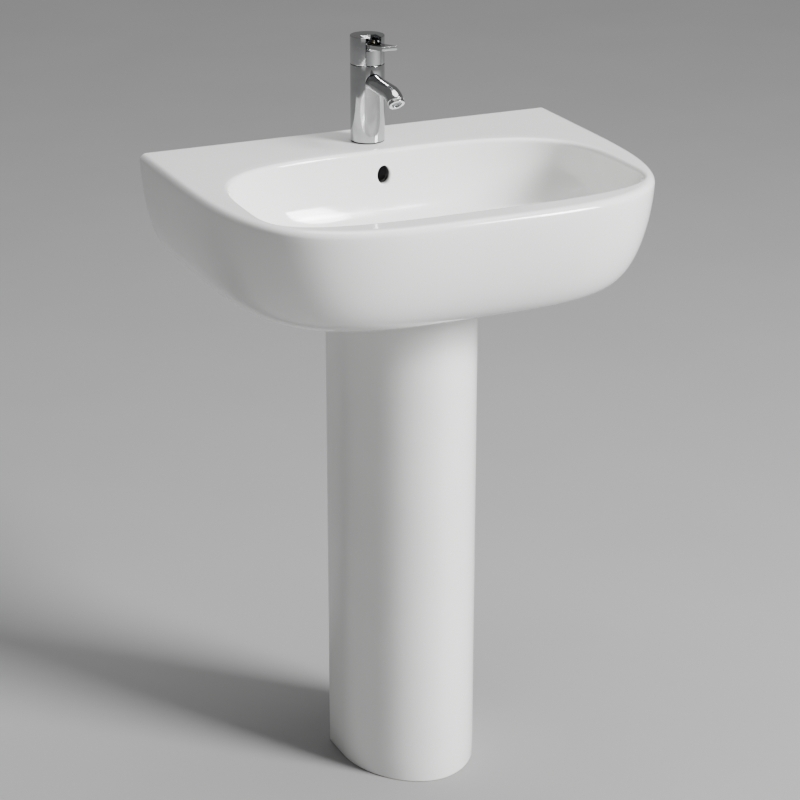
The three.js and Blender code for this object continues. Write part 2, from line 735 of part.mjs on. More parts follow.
function tapParts() {
  const deck = BASIN.rimHeight;
  const base = TAP.sealThickness + 2 * GAP;
  const neckBore = TAP.cartridgeRadius + GAP;
  const socketStart = TAP_RADIUS - SPOUT.socketDepth;
  const grooveZ = TAP.bodyHeight + TAP.grooveHeight;
  const grooveFloor = NECK_RADIUS - TAP.grooveDepth;

  const column = turned([
    [0, base],
    [TAP_RADIUS - TAP.edge, base],
    [TAP_RADIUS, base + TAP.edge],
    [TAP_RADIUS, TAP.bodyHeight - TAP.edge],
    [TAP_RADIUS - TAP.edge, TAP.bodyHeight],
    [NECK_RADIUS, TAP.bodyHeight],
    [NECK_RADIUS, grooveZ - TAP.grooveHalf],
    [grooveFloor, grooveZ - TAP.grooveHalf],
    [grooveFloor, grooveZ + TAP.grooveHalf],
    [NECK_RADIUS, grooveZ + TAP.grooveHalf],
    [NECK_RADIUS, TAP.neckTop],
    [neckBore, TAP.neckTop],
    [neckBore, TAP.cartridgeFloor],
    [0, TAP.cartridgeFloor],
  ]);
  const inletPlaces = [['hot', -TAP.inletSpread], ['cold', TAP.inletSpread]];
  const inletSocket = base + TAP.inletDepth;
  const feedTop = TAP.cartridgeFloor + LAP;
  const feedRadius = TAP.inletRadius - TAP.inletWall;
  const waterways = inletPlaces.flatMap(([, x]) => [
    bar(TAP.inletRadius + GAP, -OVERRUN, inletSocket, x, TAP.inletBack),
    bar(feedRadius, inletSocket - LAP, feedTop, x, TAP.inletBack, SIDES.small),
  ]);
  const studTop = base + TAP.studDepth;
  const outletBore = SPOUT.radius - SPOUT.wall;
  const { feedReach } = SPOUT;
  const body = cut(
    column,
    spoutBar(SPOUT.radius + GAP, socketStart - GAP, 0),
    barAlongY(outletBore, -socketStart - LAP, -socketStart + feedReach, 0, SPOUT.height),
    bar(SPOUT.feedRadius, SPOUT.height, feedTop, 0, -socketStart + feedReach / 2, SIDES.small),
    bar(TAP.studRadius + GAP, -OVERRUN, studTop, 0, -TAP.studForward, SIDES.thin),
    ...waterways,
  );

  const spoutInside = spoutBar(outletBore, socketStart - OVERRUN, OVERRUN);
  const spout = cut(spoutBar(SPOUT.radius, socketStart, 0), spoutInside);

  const drumInner = TAP_RADIUS - TAP.drumWall;
  const drumBase = TAP.bodyHeight + 2 * GAP;
  const drumShell = turned([
    [drumInner, drumBase],
    [TAP_RADIUS - TAP.edge, drumBase],
    [TAP_RADIUS, drumBase + TAP.edge],
    [TAP_RADIUS, TAP.height - TAP.drumEdge],
    [TAP_RADIUS - TAP.drumEdge, TAP.height],
    [0, TAP.height],
    [0, TAP.height - TAP.drumTop],
    [drumInner, TAP.height - TAP.drumTop],
    [drumInner, drumBase],
  ]);
  const slotHalf = LEVER.width / 2 + 2 * GAP;
  const slotBack = LEVER.pinForward - LEVER.hubRadius - LAP;
  const slotFront = -TAP_RADIUS - OVERRUN;
  const slotTop = TAP.height + OVERRUN;
  const slot = block(-slotHalf, slotHalf, slotFront, -slotBack, drumBase - OVERRUN, slotTop);
  const pinHalf = Math.sqrt(TAP_RADIUS ** 2 - LEVER.pinForward ** 2) - LEVER.pinInset;
  const pinBore = barAlongX(
    LEVER.pinRadius + GAP, -pinHalf - GAP, pinHalf + GAP, -LEVER.pinForward, LEVER.pinHeight, SIDES.thin);
  const grubBore = TAP.grubRadius + 2 * GAP;
  const grubHole = barAlongY(
    grubBore, drumInner - OVERRUN, TAP_RADIUS + OVERRUN, 0, grooveZ, SIDES.small);
  const drum = cut(drumShell, slot, pinBore, grubHole);
  const grubHead = TAP_RADIUS - TAP.edge;
  const grubScrew = barAlongY(TAP.grubRadius, grooveFloor + GAP, grubHead, 0, grooveZ, SIDES.small);
  const pin = barAlongX(
    LEVER.pinRadius, -pinHalf, pinHalf, -LEVER.pinForward, LEVER.pinHeight, SIDES.thin);

  const { spindleRadius } = TAP;
  const cartridgeTop = TAP.neckTop - TAP.cartridgeNutHeight;
  const spindleFoot = cartridgeTop - TAP.spindleSeat;
  const cartridge = turned([
    [0, TAP.cartridgeFloor + GAP],
    [TAP.cartridgeRadius, TAP.cartridgeFloor + GAP],
    [TAP.cartridgeRadius, cartridgeTop],
    [spindleRadius + GAP, cartridgeTop],
    [spindleRadius + GAP, spindleFoot - GAP],
    [0, spindleFoot - GAP],
  ]);
  const nutInner = spindleRadius + 4 * GAP;
  const cartridgeNut = washer(nutInner, TAP.cartridgeRadius, cartridgeTop + GAP, TAP.neckTop);
  const spindleTop = LEVER.pinHeight - LEVER.hubRadius - 2 * GAP;
  const tailSlot = LEVER.tailWidth / 2 + 2 * GAP;
  const spindle = cut(
    bar(spindleRadius, spindleFoot, spindleTop),
    block(-tailSlot, tailSlot, -TAP_RADIUS, TAP_RADIUS, spindleFoot + TAP.spindleSeat, TAP.height),
  );

  const sealInner = TAP.holeRadius + 1.5 * TAP.sealInset;
  const sealOuter = TAP_RADIUS - TAP.sealInset;
  const baseSeal = washer(sealInner, sealOuter, GAP, GAP + TAP.sealThickness);

  return [
    piece('tap_body', body, chrome()),
    piece('tap_spout', spout, chrome()),
    piece('handle_drum', drum, chrome()),
    piece('drum_grub_screw', grubScrew, steel()),
    piece('lever_pin', pin, steel()),
    piece('tap_lever', leverSolid(drumBase), chrome()),
    piece('cartridge_body', cartridge, greyPlastic()),
    piece('cartridge_spindle', spindle, greyPlastic()),
    piece('cartridge_nut', cartridgeNut, brass()),
    piece('tap_base_seal', baseSeal, rubber()),
    ...aeratorParts(outletBore),
    ...tapFixingParts(inletPlaces, inletSocket, studTop),
  ].map((mesh) => {
    mesh.position.set(0, TAP_Y, deck);
    return mesh;
  });
}

// The lever: a flat tongue that rises forwards from its hub, a curved front plate that fills the
// drum's slot, and a tail that reaches back into the cartridge spindle.
function leverSolid(drumBase) {
  const half = LEVER.width / 2;
  const { pinForward, pinHeight, hubRadius } = LEVER;
  const rise = THREE.MathUtils.degToRad(LEVER.rise);
  const top = (forward) => pinHeight + hubRadius + (forward - pinForward) * Math.tan(rise);
  const underHub = pinHeight - hubRadius;
  const tongueFoot = underHub + LAP;
  const drumClear = TAP_RADIUS + TAP.drumWall;
  const tongue = acrossX(polygon([
    [-pinForward, tongueFoot],
    [-pinForward, top(pinForward)],
    [-LEVER.reach, top(LEVER.reach)],
    [-LEVER.reach - LEVER.tipChamfer, top(LEVER.reach) - LEVER.thickness / 2],
    [-LEVER.reach, top(LEVER.reach) - LEVER.thickness],
    [-drumClear, top(drumClear) - LEVER.thickness],
    [-TAP_RADIUS + LAP, tongueFoot],
  ]), -half, half);
  const hub = barAlongX(hubRadius, -half, half, -pinForward, pinHeight);
  const neckClear = NECK_RADIUS + 2 * GAP;
  const plate = cut(
    bar(TAP_RADIUS - LEVER.plateInset, drumBase + 2 * GAP, pinHeight, 0, 0, SIDES.plate),
    bar(neckClear, 0, TAP.neckTop + 2 * GAP, 0, 0, SIDES.plate),
    block(-TAP_RADIUS, TAP_RADIUS, -pinForward - OVERRUN, TAP_RADIUS, 0, TAP.height),
    block(-TAP_RADIUS, -half, -TAP_RADIUS, TAP_RADIUS, 0, TAP.height),
    block(half, TAP_RADIUS, -TAP_RADIUS, TAP_RADIUS, 0, TAP.height),
  );
  const tail = acrossX(polygon([
    [-pinForward, pinHeight - hubRadius / 2],
    [-pinForward, pinHeight + hubRadius / 2],
    [-LAP, underHub],
    [LAP, underHub - LEVER.tailDepth],
    [-2 * LAP, underHub - LEVER.tailDepth],
  ]), -LEVER.tailWidth / 2, LEVER.tailWidth / 2);
  const boreHalf = half + OVERRUN;
  const bore = barAlongX(
    LEVER.pinRadius + GAP, -boreHalf, boreHalf, -pinForward, pinHeight, SIDES.thin);
  return cut(join(tongue, hub, plate, tail), bore);
}

// The aerator screws into the spout's end and points along the end's own direction.
function aeratorParts(boreRadius) {
  const { end, tilt } = spoutCurve(TAP_RADIUS);
  const { spigotLength, ringLength, lip, shelf, insertTop, insertFoot, jetCircle } = AERATOR;
  const ringOuter = SPOUT.radius - AERATOR.ringInset;
  const spigot = boreRadius - 3 * GAP;
  const ringInner = spigot - GAP;
  const throat = ringInner - lip;
  const housing = turned([
    [throat, -spigotLength],
    [spigot, -spigotLength],
    [spigot, GAP],
    [ringOuter, GAP],
    [ringOuter, ringLength - lip],
    [ringOuter - lip, ringLength],
    [ringInner, ringLength],
    [ringInner, shelf],
    [throat, shelf],
    [throat, -spigotLength],
  ]);
  const ring = [0, 1, 2, 3, 4, 5].map((k) => k * Math.PI / 3);
  const onRing = ring.map((angle) => [jetCircle * Math.cos(angle), jetCircle * Math.sin(angle)]);
  const jet = ([x, y]) => (
    bar(AERATOR.jetRadius, insertFoot - OVERRUN, insertTop + OVERRUN, x, y, SIDES.tiny));
  const insert = cut(
    bar(throat - GAP, insertFoot, insertTop),
    jet([0, 0]),
    ...onRing.map(jet),
  );
  // The profile's heights run out of the spout, so upright is turned to the spout's own direction.
  const turn = 90 + THREE.MathUtils.radToDeg(tilt);
  const atEnd = (body) => body.rotate([turn, 0, 0]).translate([0, end.y, end.z]);
  return [
    piece('aerator_housing', atEnd(housing), chrome()),
    piece('aerator_insert', atEnd(insert), greyPlastic()),
  ];
}

function tapFixingParts(inletPlaces, inletSocket, studTop) {
  const under = -BASIN.deckThickness;
  const gasketTop = under - GAP;
  const gasketFoot = gasketTop - TAP.gasketThickness;
  const plateTop = gasketFoot - GAP;
  const plateFoot = plateTop - TAP.plateThickness;
  const nutTop = plateFoot - GAP;
  const studBore = TAP.studRadius + GAP;
  const slotHalf = TAP.inletSpread + TAP.inletRadius + 5 * GAP;
  const slotFront = TAP.inletBack - TAP.inletRadius - OVERRUN;
  const horseshoe = (z0, z1) => cut(
    bar(TAP_RADIUS + LAP, z0, z1, 0, 0, SIDES.plate),
    block(-slotHalf, slotHalf, slotFront, TAP_RADIUS * 2, z0 - OVERRUN, z1 + OVERRUN),
    bar(studBore, z0 - OVERRUN, z1 + OVERRUN, 0, -TAP.studForward, SIDES.thin),
  );
  const nut = hexNut(TAP.nutAcross, studBore, nutTop - TAP.nutThickness, nutTop);
  const inletBore = TAP.inletRadius - TAP.inletWall;
  const inletTop = inletSocket - GAP;
  const inlets = inletPlaces.map(([name, x]) => {
    const tube = washer(inletBore, TAP.inletRadius, -TAP.inletDrop, inletTop, x, TAP.inletBack);
    return piece(`${name}_inlet`, tube, brass());
  });
  const studHead = studTop - GAP;
  const stud = bar(TAP.studRadius, studHead - TAP.studLength, studHead, 0, -TAP.studForward, SIDES.thin);
  return [
    piece('tap_stud', stud, brass()),
    piece('tap_gasket', horseshoe(gasketFoot, gasketTop), rubber()),
    piece('tap_plate', horseshoe(plateFoot, plateTop), steel()),
    piece('tap_nut', nut.translate([0, -TAP.studForward, 0]), brass()),
    ...inlets,
  ];
}

// ---------------------------------------------------------------- push-open waste

function wasteParts() {
  const seat = BOWL_FLOOR_Z - DRAIN.seatDepth;
  const sealTop = seat + GAP + WASTE.sealThickness;
  const flangeFoot = sealTop + GAP;
  const flangeTop = flangeFoot + WASTE.flangeThickness;
  const tubeFoot = flangeTop - WASTE.tubeLength;
  const bore = WASTE.tubeRadius - WASTE.tubeWall;
  const bossFoot = BOWL_FLOOR_Z - DRAIN.bossThickness;
  const at = (profile, sides = SIDES.round) => turned(profile, 0, DRAIN_Y, sides);

  const shell = at([
    [bore, tubeFoot],
    [WASTE.tubeRadius, tubeFoot],
    [WASTE.tubeRadius, flangeFoot],
    [FLANGE_RADIUS, flangeFoot],
    [FLANGE_RADIUS, flangeTop - WASTE.flangeEdge],
    [FLANGE_RADIUS - WASTE.sealThickness, flangeTop],
    [bore + WASTE.dishWidth, flangeTop],
    [bore, flangeTop - WASTE.wingHalf],
    [bore, tubeFoot],
  ], SIDES.wide);
  const [slotZ0, slotZ1] = [bossFoot + WASTE.slotRise, seat - WASTE.slotBelowSeat];
  const [slotFront, slotBack] = [DRAIN_Y - DRAIN_RADIUS, DRAIN_Y + DRAIN_RADIUS];
  const slots = block(-WASTE.slotHalf, WASTE.slotHalf, slotFront, slotBack, slotZ0, slotZ1);
  const barZ0 = bossFoot - WASTE.spokeDrop;
  const barZ1 = barZ0 + WASTE.spokeHeight;
  const { spokeHalf } = WASTE;
  const spokeReach = bore + LAP;
  const hubBore = WASTE.barrelRadius + GAP;
  const spider = cut(
    join(
      bar(hubBore + WASTE.hubWall, barZ0, barZ1, 0, DRAIN_Y),
      block(-spokeReach, spokeReach, DRAIN_Y - spokeHalf, DRAIN_Y + spokeHalf, barZ0, barZ1),
      block(-spokeHalf, spokeHalf, DRAIN_Y - spokeReach, DRAIN_Y + spokeReach, barZ0, barZ1),
    ),
    bar(hubBore, barZ0 - OVERRUN, barZ1 + OVERRUN, 0, DRAIN_Y),
  );

  const lowerSealTop = bossFoot - GAP;
  const lowerSealFoot = lowerSealTop - WASTE.lowerSealThickness;
  const nutTop = lowerSealFoot - GAP;
  const nutFoot = nutTop - WASTE.nutHeight;
  const wingTop = nutTop - WASTE.wingDrop;
  const nutBore = clearing(WASTE.tubeRadius);
  const { wingHalf } = WASTE;
  const wingReach = nutBore + WASTE.wingReach;
  const backNut = cut(
    join(
      bar(nutBore + WASTE.nutWall, nutFoot, nutTop, 0, DRAIN_Y),
      block(-wingReach, wingReach, DRAIN_Y - wingHalf, DRAIN_Y + wingHalf, nutFoot, wingTop),
    ),
    bar(nutBore, nutFoot - OVERRUN, nutTop + OVERRUN, 0, DRAIN_Y),
  );

  const barrelTop = barZ1 + WASTE.barrelRise;
  const barrelFoot = barrelTop - WASTE.barrelLength;
  const barrelFloor = barrelFoot + WASTE.barrelFloor;
  const collarRadius = WASTE.barrelRadius + WASTE.barrelCollar;
  const stemBore = WASTE.stemRadius + GAP;
  const barrel = at([
    [0, barrelFoot],
    [WASTE.barrelRadius, barrelFoot],
    [WASTE.barrelRadius, barZ1 + GAP],
    [collarRadius, barZ1 + GAP],
    [collarRadius, barrelTop],
    [stemBore, barrelTop],
    [stemBore, barrelFloor],
    [0, barrelFloor],
  ]);

  const capFoot = flangeTop + WASTE.plugRise + WASTE.capHeadroom;
  const capTop = capFoot + WASTE.plugThickness;
  const stemFoot = barrelFloor + WASTE.plugRise + OVERRUN;
  const capUnder = capFoot - GAP;
  const cap = at([
    [0, capFoot],
    [PLUG_RADIUS - LAP, capFoot],
    [PLUG_RADIUS, capFoot + LAP],
    [PLUG_RADIUS - WASTE.sealThickness, capFoot + WASTE.capHeadroom],
    [PLUG_RADIUS * WASTE.crownShare, capTop - 2 * GAP],
    [0, capTop],
  ], SIDES.wide);
  const plugSealOuter = PLUG_RADIUS - WASTE.sealThickness;
  const plugSealFoot = capUnder - WASTE.plugSealThickness;
  const plugSeal = washer(bore + wingHalf, plugSealOuter, plugSealFoot, capUnder, 0, DRAIN_Y, SIDES.china);
  const stem = bar(WASTE.stemRadius, stemFoot, capUnder, 0, DRAIN_Y, SIDES.thin);
  const upperSeal = washer(DRAIN_RADIUS + LAP, FLANGE_RADIUS - LAP, seat + GAP, sealTop, 0, DRAIN_Y);
  const lowerSeal = washer(
    nutBore, nutBore + WASTE.slotHalf, lowerSealFoot, lowerSealTop, 0, DRAIN_Y);
  const wireRoom = WASTE.springWire + GAP;

  return [
    piece('waste_body', join(cut(shell, slots), spider), chrome()),
    piece('waste_upper_seal', upperSeal, rubber()),
    piece('waste_lower_seal', lowerSeal, rubber()),
    piece('waste_back_nut', backNut, brass()),
    piece('waste_plug', cap, chrome()),
    piece('plug_seal', plugSeal, rubber()),
    piece('plug_stem', stem, brass()),
    piece('latch_barrel', barrel, whitePlastic()),
    piece('plug_spring', springSolid(barrelTop + wireRoom, capUnder - wireRoom), steel()),
  ];
}

// A helix of round wire between two heights, around the plug stem.
class Helix extends THREE.Curve {
  constructor(radius, z0, z1, turns) {
    super();
    Object.assign(this, { radius, z0, z1, turns });
  }

  getPoint(t, target = new THREE.Vector3()) {
    const angle = 2 * Math.PI * this.turns * t;
    const z = this.z0 + (this.z1 - this.z0) * t;
    return target.set(this.radius * Math.cos(angle), this.radius * Math.sin(angle), z);
  }
}

function springSolid(z0, z1) {
  const radius = WASTE.stemRadius + OVERRUN;
  const disc = new THREE.Shape().absarc(0, 0, WASTE.springWire, 0, 2 * Math.PI);
  const options = {
    steps: WASTE.springTurns * WASTE.stepsPerTurn,
    extrudePath: new Helix(radius, z0, z1, WASTE.springTurns),
    bevelEnabled: false,
    curveSegments: 3,
  };
  return solid(new THREE.ExtrudeGeometry(disc, options).translate(0, DRAIN_Y, 0));
}

// ---------------------------------------------------------------- bottle trap

function trapParts() {
  const wasteFoot = BOWL_FLOOR_Z - DRAIN.seatDepth + 2 * GAP + WASTE.sealThickness
    + WASTE.flangeThickness - WASTE.tubeLength;
  const washerTop = wasteFoot - GAP;
  const washerFoot = washerTop - TRAP.washerThickness;
  const collarTop = washerFoot - GAP;
  const collarFoot = collarTop - TRAP.collarHeight;
  const pipe = TRAP.pipeRadius;
  const pipeBore = pipe - TRAP.pipeWall;
  const headTop = collarTop - TRAP.inletLength;
  const headFoot = headTop - TRAP.headHeight;
  const outletZ = headFoot + TRAP.headHeight / 2;
  const headBore = TRAP.bottleRadius - TRAP.pipeWall * 1.5;
  const at = (profile, sides = SIDES.round) => turned(profile, 0, DRAIN_Y, sides);

  // Upright, about the origin: slides over the end that it clamps and holds a collar behind its lip.
  const slipNut = (threadRadius, lipRadius, z0) => {
    const outer = threadRadius + TRAP.nutWall;
    const lip = TRAP.lipThickness;
    return turned([
      [lipRadius, z0],
      [outer - TRAP.socketWall, z0],
      [outer, z0 + TRAP.socketWall],
      [outer, z0 + TRAP.nutHeight],
      [threadRadius, z0 + TRAP.nutHeight],
      [threadRadius, z0 + lip],
      [lipRadius, z0 + lip],
      [lipRadius, z0],
    ]);
  };

  const collarRadius = WASTE.tubeRadius - LAP;
  const nutFoot = collarFoot - GAP - TRAP.lipThickness;
  const inletNut = slipNut(clearing(WASTE.tubeRadius), clearing(pipe), nutFoot);
  const dipFoot = headFoot - TRAP.dip;
  const { headWall, shoulder } = TRAP;
  const head = at([
    [pipeBore, dipFoot],
    [pipe, dipFoot],
    [pipe, headTop - headWall],
    [headBore, headTop - headWall],
    [headBore, headFoot],
    [TRAP.bottleRadius, headFoot],
    [TRAP.bottleRadius, headTop - shoulder],
    [TRAP.bottleRadius - shoulder, headTop],
    [pipe, headTop],
    [pipe, collarFoot],
    [collarRadius, collarFoot],
    [collarRadius, collarTop],
    [pipeBore, collarTop],
    [pipeBore, dipFoot],
  ], SIDES.wide);
  const outletStart = DRAIN_Y + headBore;
  const socketStart = DRAIN_Y + TRAP.bottleRadius;
  const socketEnd = socketStart + TRAP.socketLength;
  const socketRadius = pipe + TRAP.pipeWall + TRAP.socketWall;
  const outlet = barAlongY(socketRadius, outletStart - LAP, socketEnd, 0, outletZ);
  const pipeEntry = socketEnd - TRAP.pipeEntry;
  const pastEnd = socketEnd + OVERRUN;
  const trapBody = cut(
    join(head, outlet),
    barAlongY(pipeBore, DRAIN_Y + pipe + OVERRUN, pastEnd, 0, outletZ),
    barAlongY(pipe + GAP, pipeEntry - GAP, pastEnd, 0, outletZ),
  );

  const sealTop = headFoot - GAP;
  const sealFoot = sealTop - TRAP.sealThickness;
  const cupTop = sealFoot - GAP;
  const cupFoot = cupTop - TRAP.cupHeight;
  const { cupWall, cupCollar } = TRAP;
  const waist = TRAP.bottleRadius - shoulder;
  const collarFlare = cupTop - cupCollar;
  const footRadius = waist - TRAP.cupFootInset;
  const cup = at([
    [0, cupFoot],
    [footRadius, cupFoot],
    [waist - TRAP.cupCornerInset, cupFoot + TRAP.cupCornerRise],
    [waist, cupFoot + TRAP.cupWaistRise],
    [waist, collarFlare - shoulder],
    [waist + 2 * shoulder, collarFlare],
    [waist + 2 * shoulder, cupTop],
    [headBore, cupTop],
    [headBore - LAP, collarFlare - shoulder],
    [headBore - 2 * LAP, cupFoot + TRAP.cupWaistRise + LAP],
    [footRadius - LAP, cupFoot + cupWall + LAP],
    [0, cupFoot + cupWall],
  ], SIDES.wide);

  // Rings along the outlet, from the socket's end to the wall.
  const layBack = (body, y) => body.rotate([-90, 0, 0]).translate([0, y, outletZ]);
  const ringThickness = TRAP.washerThickness;
  const outletWasher = layBack(washer(pipe + GAP, socketRadius, GAP, GAP + ringThickness), socketEnd);
  const nutReach = TRAP.lipThickness + 2 * GAP + ringThickness;
  const nutFlipped = slipNut(clearing(socketRadius), clearing(pipe), 0).rotate([180, 0, 0]);
  const outletNut = layBack(nutFlipped.translate([0, 0, nutReach]), socketEnd);
  const outletPipe = cut(
    barAlongY(pipe, pipeEntry, WALL_Y, 0, outletZ),
    barAlongY(pipeBore, pipeEntry - OVERRUN, WALL_Y + OVERRUN, 0, outletZ),
  );
  const { roseDepth, roseRadius } = TRAP;
  const wallFlange = layBack(turned([
    [pipe + GAP, 0],
    [pipe + shoulder, 0],
    [pipe + 4 * shoulder, roseDepth / 2],
    [roseRadius, roseDepth - shoulder],
    [roseRadius, roseDepth],
    [pipe + GAP, roseDepth],
    [pipe + GAP, 0],
  ]), WALL_Y - roseDepth - GAP);
  const inletWasher = washer(pipeBore, collarRadius, washerFoot, washerTop, 0, DRAIN_Y);
  const cupSealOuter = TRAP.bottleRadius - LAP / 2;
  const cupSeal = washer(headBore, cupSealOuter, sealFoot, sealTop, 0, DRAIN_Y);

  return [
    piece('trap_inlet_nut', inletNut.translate([0, DRAIN_Y, 0]), whitePlastic()),
    piece('trap_inlet_washer', inletWasher, rubber()),
    piece('trap_body', trapBody, whitePlastic()),
    piece('trap_cup_seal', cupSeal, rubber()),
    piece('trap_cup', cup, whitePlastic()),
    piece('trap_outlet_nut', outletNut, whitePlastic()),
    piece('trap_outlet_washer', outletWasher, rubber()),
    piece('outlet_pipe', outletPipe, whitePlastic()),
    piece('wall_flange', wallFlange, whitePlastic()),
  ];
}

// ---------------------------------------------------------------- the whole sink

const sink = new THREE.Group();
sink.name = 'pedestal_sink';
sink.add(
  ...basinParts(),
  ...pedestalParts(),
  ...bracketParts(),
  ...wallFixingParts(),
  ...tapParts(),
  ...wasteParts(),
  ...trapParts(),
);

export default sink;
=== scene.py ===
"""Looks of a pedestal wash basin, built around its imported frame.

A vitreous china basin on a D-shaped column, with a single-lever mixer tap, a push-open waste, a
bottle trap and its fixings. Metres; +Z is up, the floor is z = 0, the front faces -Y and the wall
is the plane where the basin's box ends in +Y.
"""

import json
import logging
import math
from dataclasses import dataclass
from enum import Enum
from typing import Callable, Optional, Sequence

import bpy
import numpy as np
from mathutils import Matrix, Vector


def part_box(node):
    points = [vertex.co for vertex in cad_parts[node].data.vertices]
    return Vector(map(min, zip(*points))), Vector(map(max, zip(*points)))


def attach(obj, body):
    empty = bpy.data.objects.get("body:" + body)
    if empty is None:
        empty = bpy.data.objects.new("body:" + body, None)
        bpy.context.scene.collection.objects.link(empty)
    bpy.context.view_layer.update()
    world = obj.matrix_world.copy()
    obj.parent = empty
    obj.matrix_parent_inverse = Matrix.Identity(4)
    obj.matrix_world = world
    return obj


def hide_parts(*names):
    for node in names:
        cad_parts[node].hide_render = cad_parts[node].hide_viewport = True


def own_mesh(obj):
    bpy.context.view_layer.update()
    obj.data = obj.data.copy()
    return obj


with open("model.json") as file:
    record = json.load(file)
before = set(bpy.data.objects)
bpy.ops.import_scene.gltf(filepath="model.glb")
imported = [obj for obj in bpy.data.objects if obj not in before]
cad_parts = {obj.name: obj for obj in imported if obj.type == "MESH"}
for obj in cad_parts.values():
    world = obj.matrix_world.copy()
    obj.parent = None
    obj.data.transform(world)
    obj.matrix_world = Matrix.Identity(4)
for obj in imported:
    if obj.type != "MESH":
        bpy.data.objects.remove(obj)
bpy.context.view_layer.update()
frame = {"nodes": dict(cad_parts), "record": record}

log = logging.getLogger("pedestal_sink")

TAU = 2.0 * math.pi
CREASE = 38.0

Array = np.ndarray
Nums = Sequence[float]
Pair = tuple[float, float]
Rgb = tuple[float, float, float]
Obj = bpy.types.Object
Socket = bpy.types.NodeSocket
Shape = Callable[[Array, Array, Array], Array]


# ------------------------------------------------------------------------------- finishes


class Slot(Enum):
    """The record's material slots."""

    CHINA = "china"
    CHROME = "chrome"
    RUBBER = "rubber"
    BRASS = "brass"
    WHITE_PLASTIC = "white_plastic"
    GREY_PLASTIC = "grey_plastic"
    STEEL = "steel"


@dataclass(frozen=True)
class Noise:
    """A noise pattern: its waves per metre, its finer layers and its squeeze along Z."""

    scale: float
    detail: float
    squeeze: float = 1.0


@dataclass(frozen=True)
class Relief:
    """How much a height field raises a surface: its strength and its distance in metres."""

    strength: float
    distance: float


class NodeSheet:
    """A material's node tree with its shader, and short ways to add what drives it."""

    def __init__(self, name: str) -> None:
        """Start a material with a name and one Principled shader."""
        self.material = bpy.data.materials.new(name)
        self.material.use_nodes = True
        self.tree = self.material.node_tree
        self.shader = self.tree.nodes["Principled BSDF"]
        self.place = self.add("TexCoord", "Object", {})

    def feed(self, node: bpy.types.Node, inputs: dict) -> None:
        """Fill a node's inputs.

        Args:
            node: the node.
            inputs: for each input, a socket to link to it or its constant.
        """
        for key, value in inputs.items():
            if isinstance(value, Socket):
                self.tree.links.new(value, node.inputs[key])
            else:
                node.inputs[key].default_value = value

    def add(self, kind: str, output: str, inputs: dict, **settings: object) -> Socket:
        """Add a node.

        Args:
            kind: the node's Blender type name after "ShaderNode".
            output: the output that is wanted.
            inputs: as in feed.
            **settings: properties of the node.

        Returns:
            The node's output.
        """
        node = self.tree.nodes.new("ShaderNode" + kind)
        for key, value in settings.items():
            setattr(node, key, value)
        self.feed(node, inputs)
        return node.outputs[output]

    def maths(self, operation: str, *values: object) -> Socket:
        """The result of a Math node on sockets or numbers."""
        return self.add("Math", "Value", dict(enumerate(values)), operation=operation)

    def noise(self, noise: Noise) -> Socket:
        """A noise value that follows the object.

        Args:
            noise: the pattern.

        Returns:
            The noise's factor.
        """
        place = self.place
        if noise.squeeze != 1.0:
            place = self.add("Mapping", "Vector",
                             {"Vector": place, "Scale": (1.0, 1.0, noise.squeeze)})
        return self.add("TexNoise", "Fac",
                        {"Vector": place, "Scale": noise.scale, "Detail": noise.detail})

    def spread(self, value: Socket, result: Pair, window: Pair = (0.0, 1.0)) -> Socket:
        """Map a value's range to another range, clamped.

        Args:
            value: what is mapped.
            result: the results at the window's ends.
            window: the values that give them.

        Returns:
            The mapped value.
        """
        return self.add("MapRange", "Result", {
            "Value": value, "From Min": window[0], "From Max": window[1],
            "To Min": result[0], "To Max": result[1]})

    def blend(self, value: Socket, window: Pair, first: Rgb, second: Rgb) -> Socket:
        """Blend two colours as a value crosses a window.

        Args:
            value: what drives the blend.
            window: the values that give the first and the second colour.
            first: the first colour.
            second: the second colour.

        Returns:
            The blended colour.
        """
        colour = self.add("ValToRGB", "Color", {"Fac": self.spread(value, (0.0, 1.0), window)})
        for stop, shade in zip(colour.node.color_ramp.elements, (first, second)):
            stop.color = (*shade, 1.0)
        return colour

    def covered(self, mask: Socket, colour: Socket, cover: Rgb) -> Socket:
        """A colour that another covers where a mask is 1."""
        return self.add("MixRGB", "Color", {"Fac": mask, "Color1": colour, "Color2": (*cover, 1.0)})

    def finish(self, *layers: tuple[Socket, Relief], **inputs: object) -> bpy.types.Material:
        """Drive the shader and hand the material over.

        Args:
            *layers: height fields and their reliefs, one on top of the other.
            **inputs: the shader's own inputs, with underscores for spaces.

        Returns:
            The material.
        """
        below = {}
        for height, relief in layers:
            below = {"Normal": self.add("Bump", "Normal", {
                "Height": height, "Strength": relief.strength, "Distance": relief.distance,
                **below})}
        self.feed(self.shader, below)
        self.feed(self.shader, {key.replace("_", " "): value for key, value in inputs.items()})
        return self.material


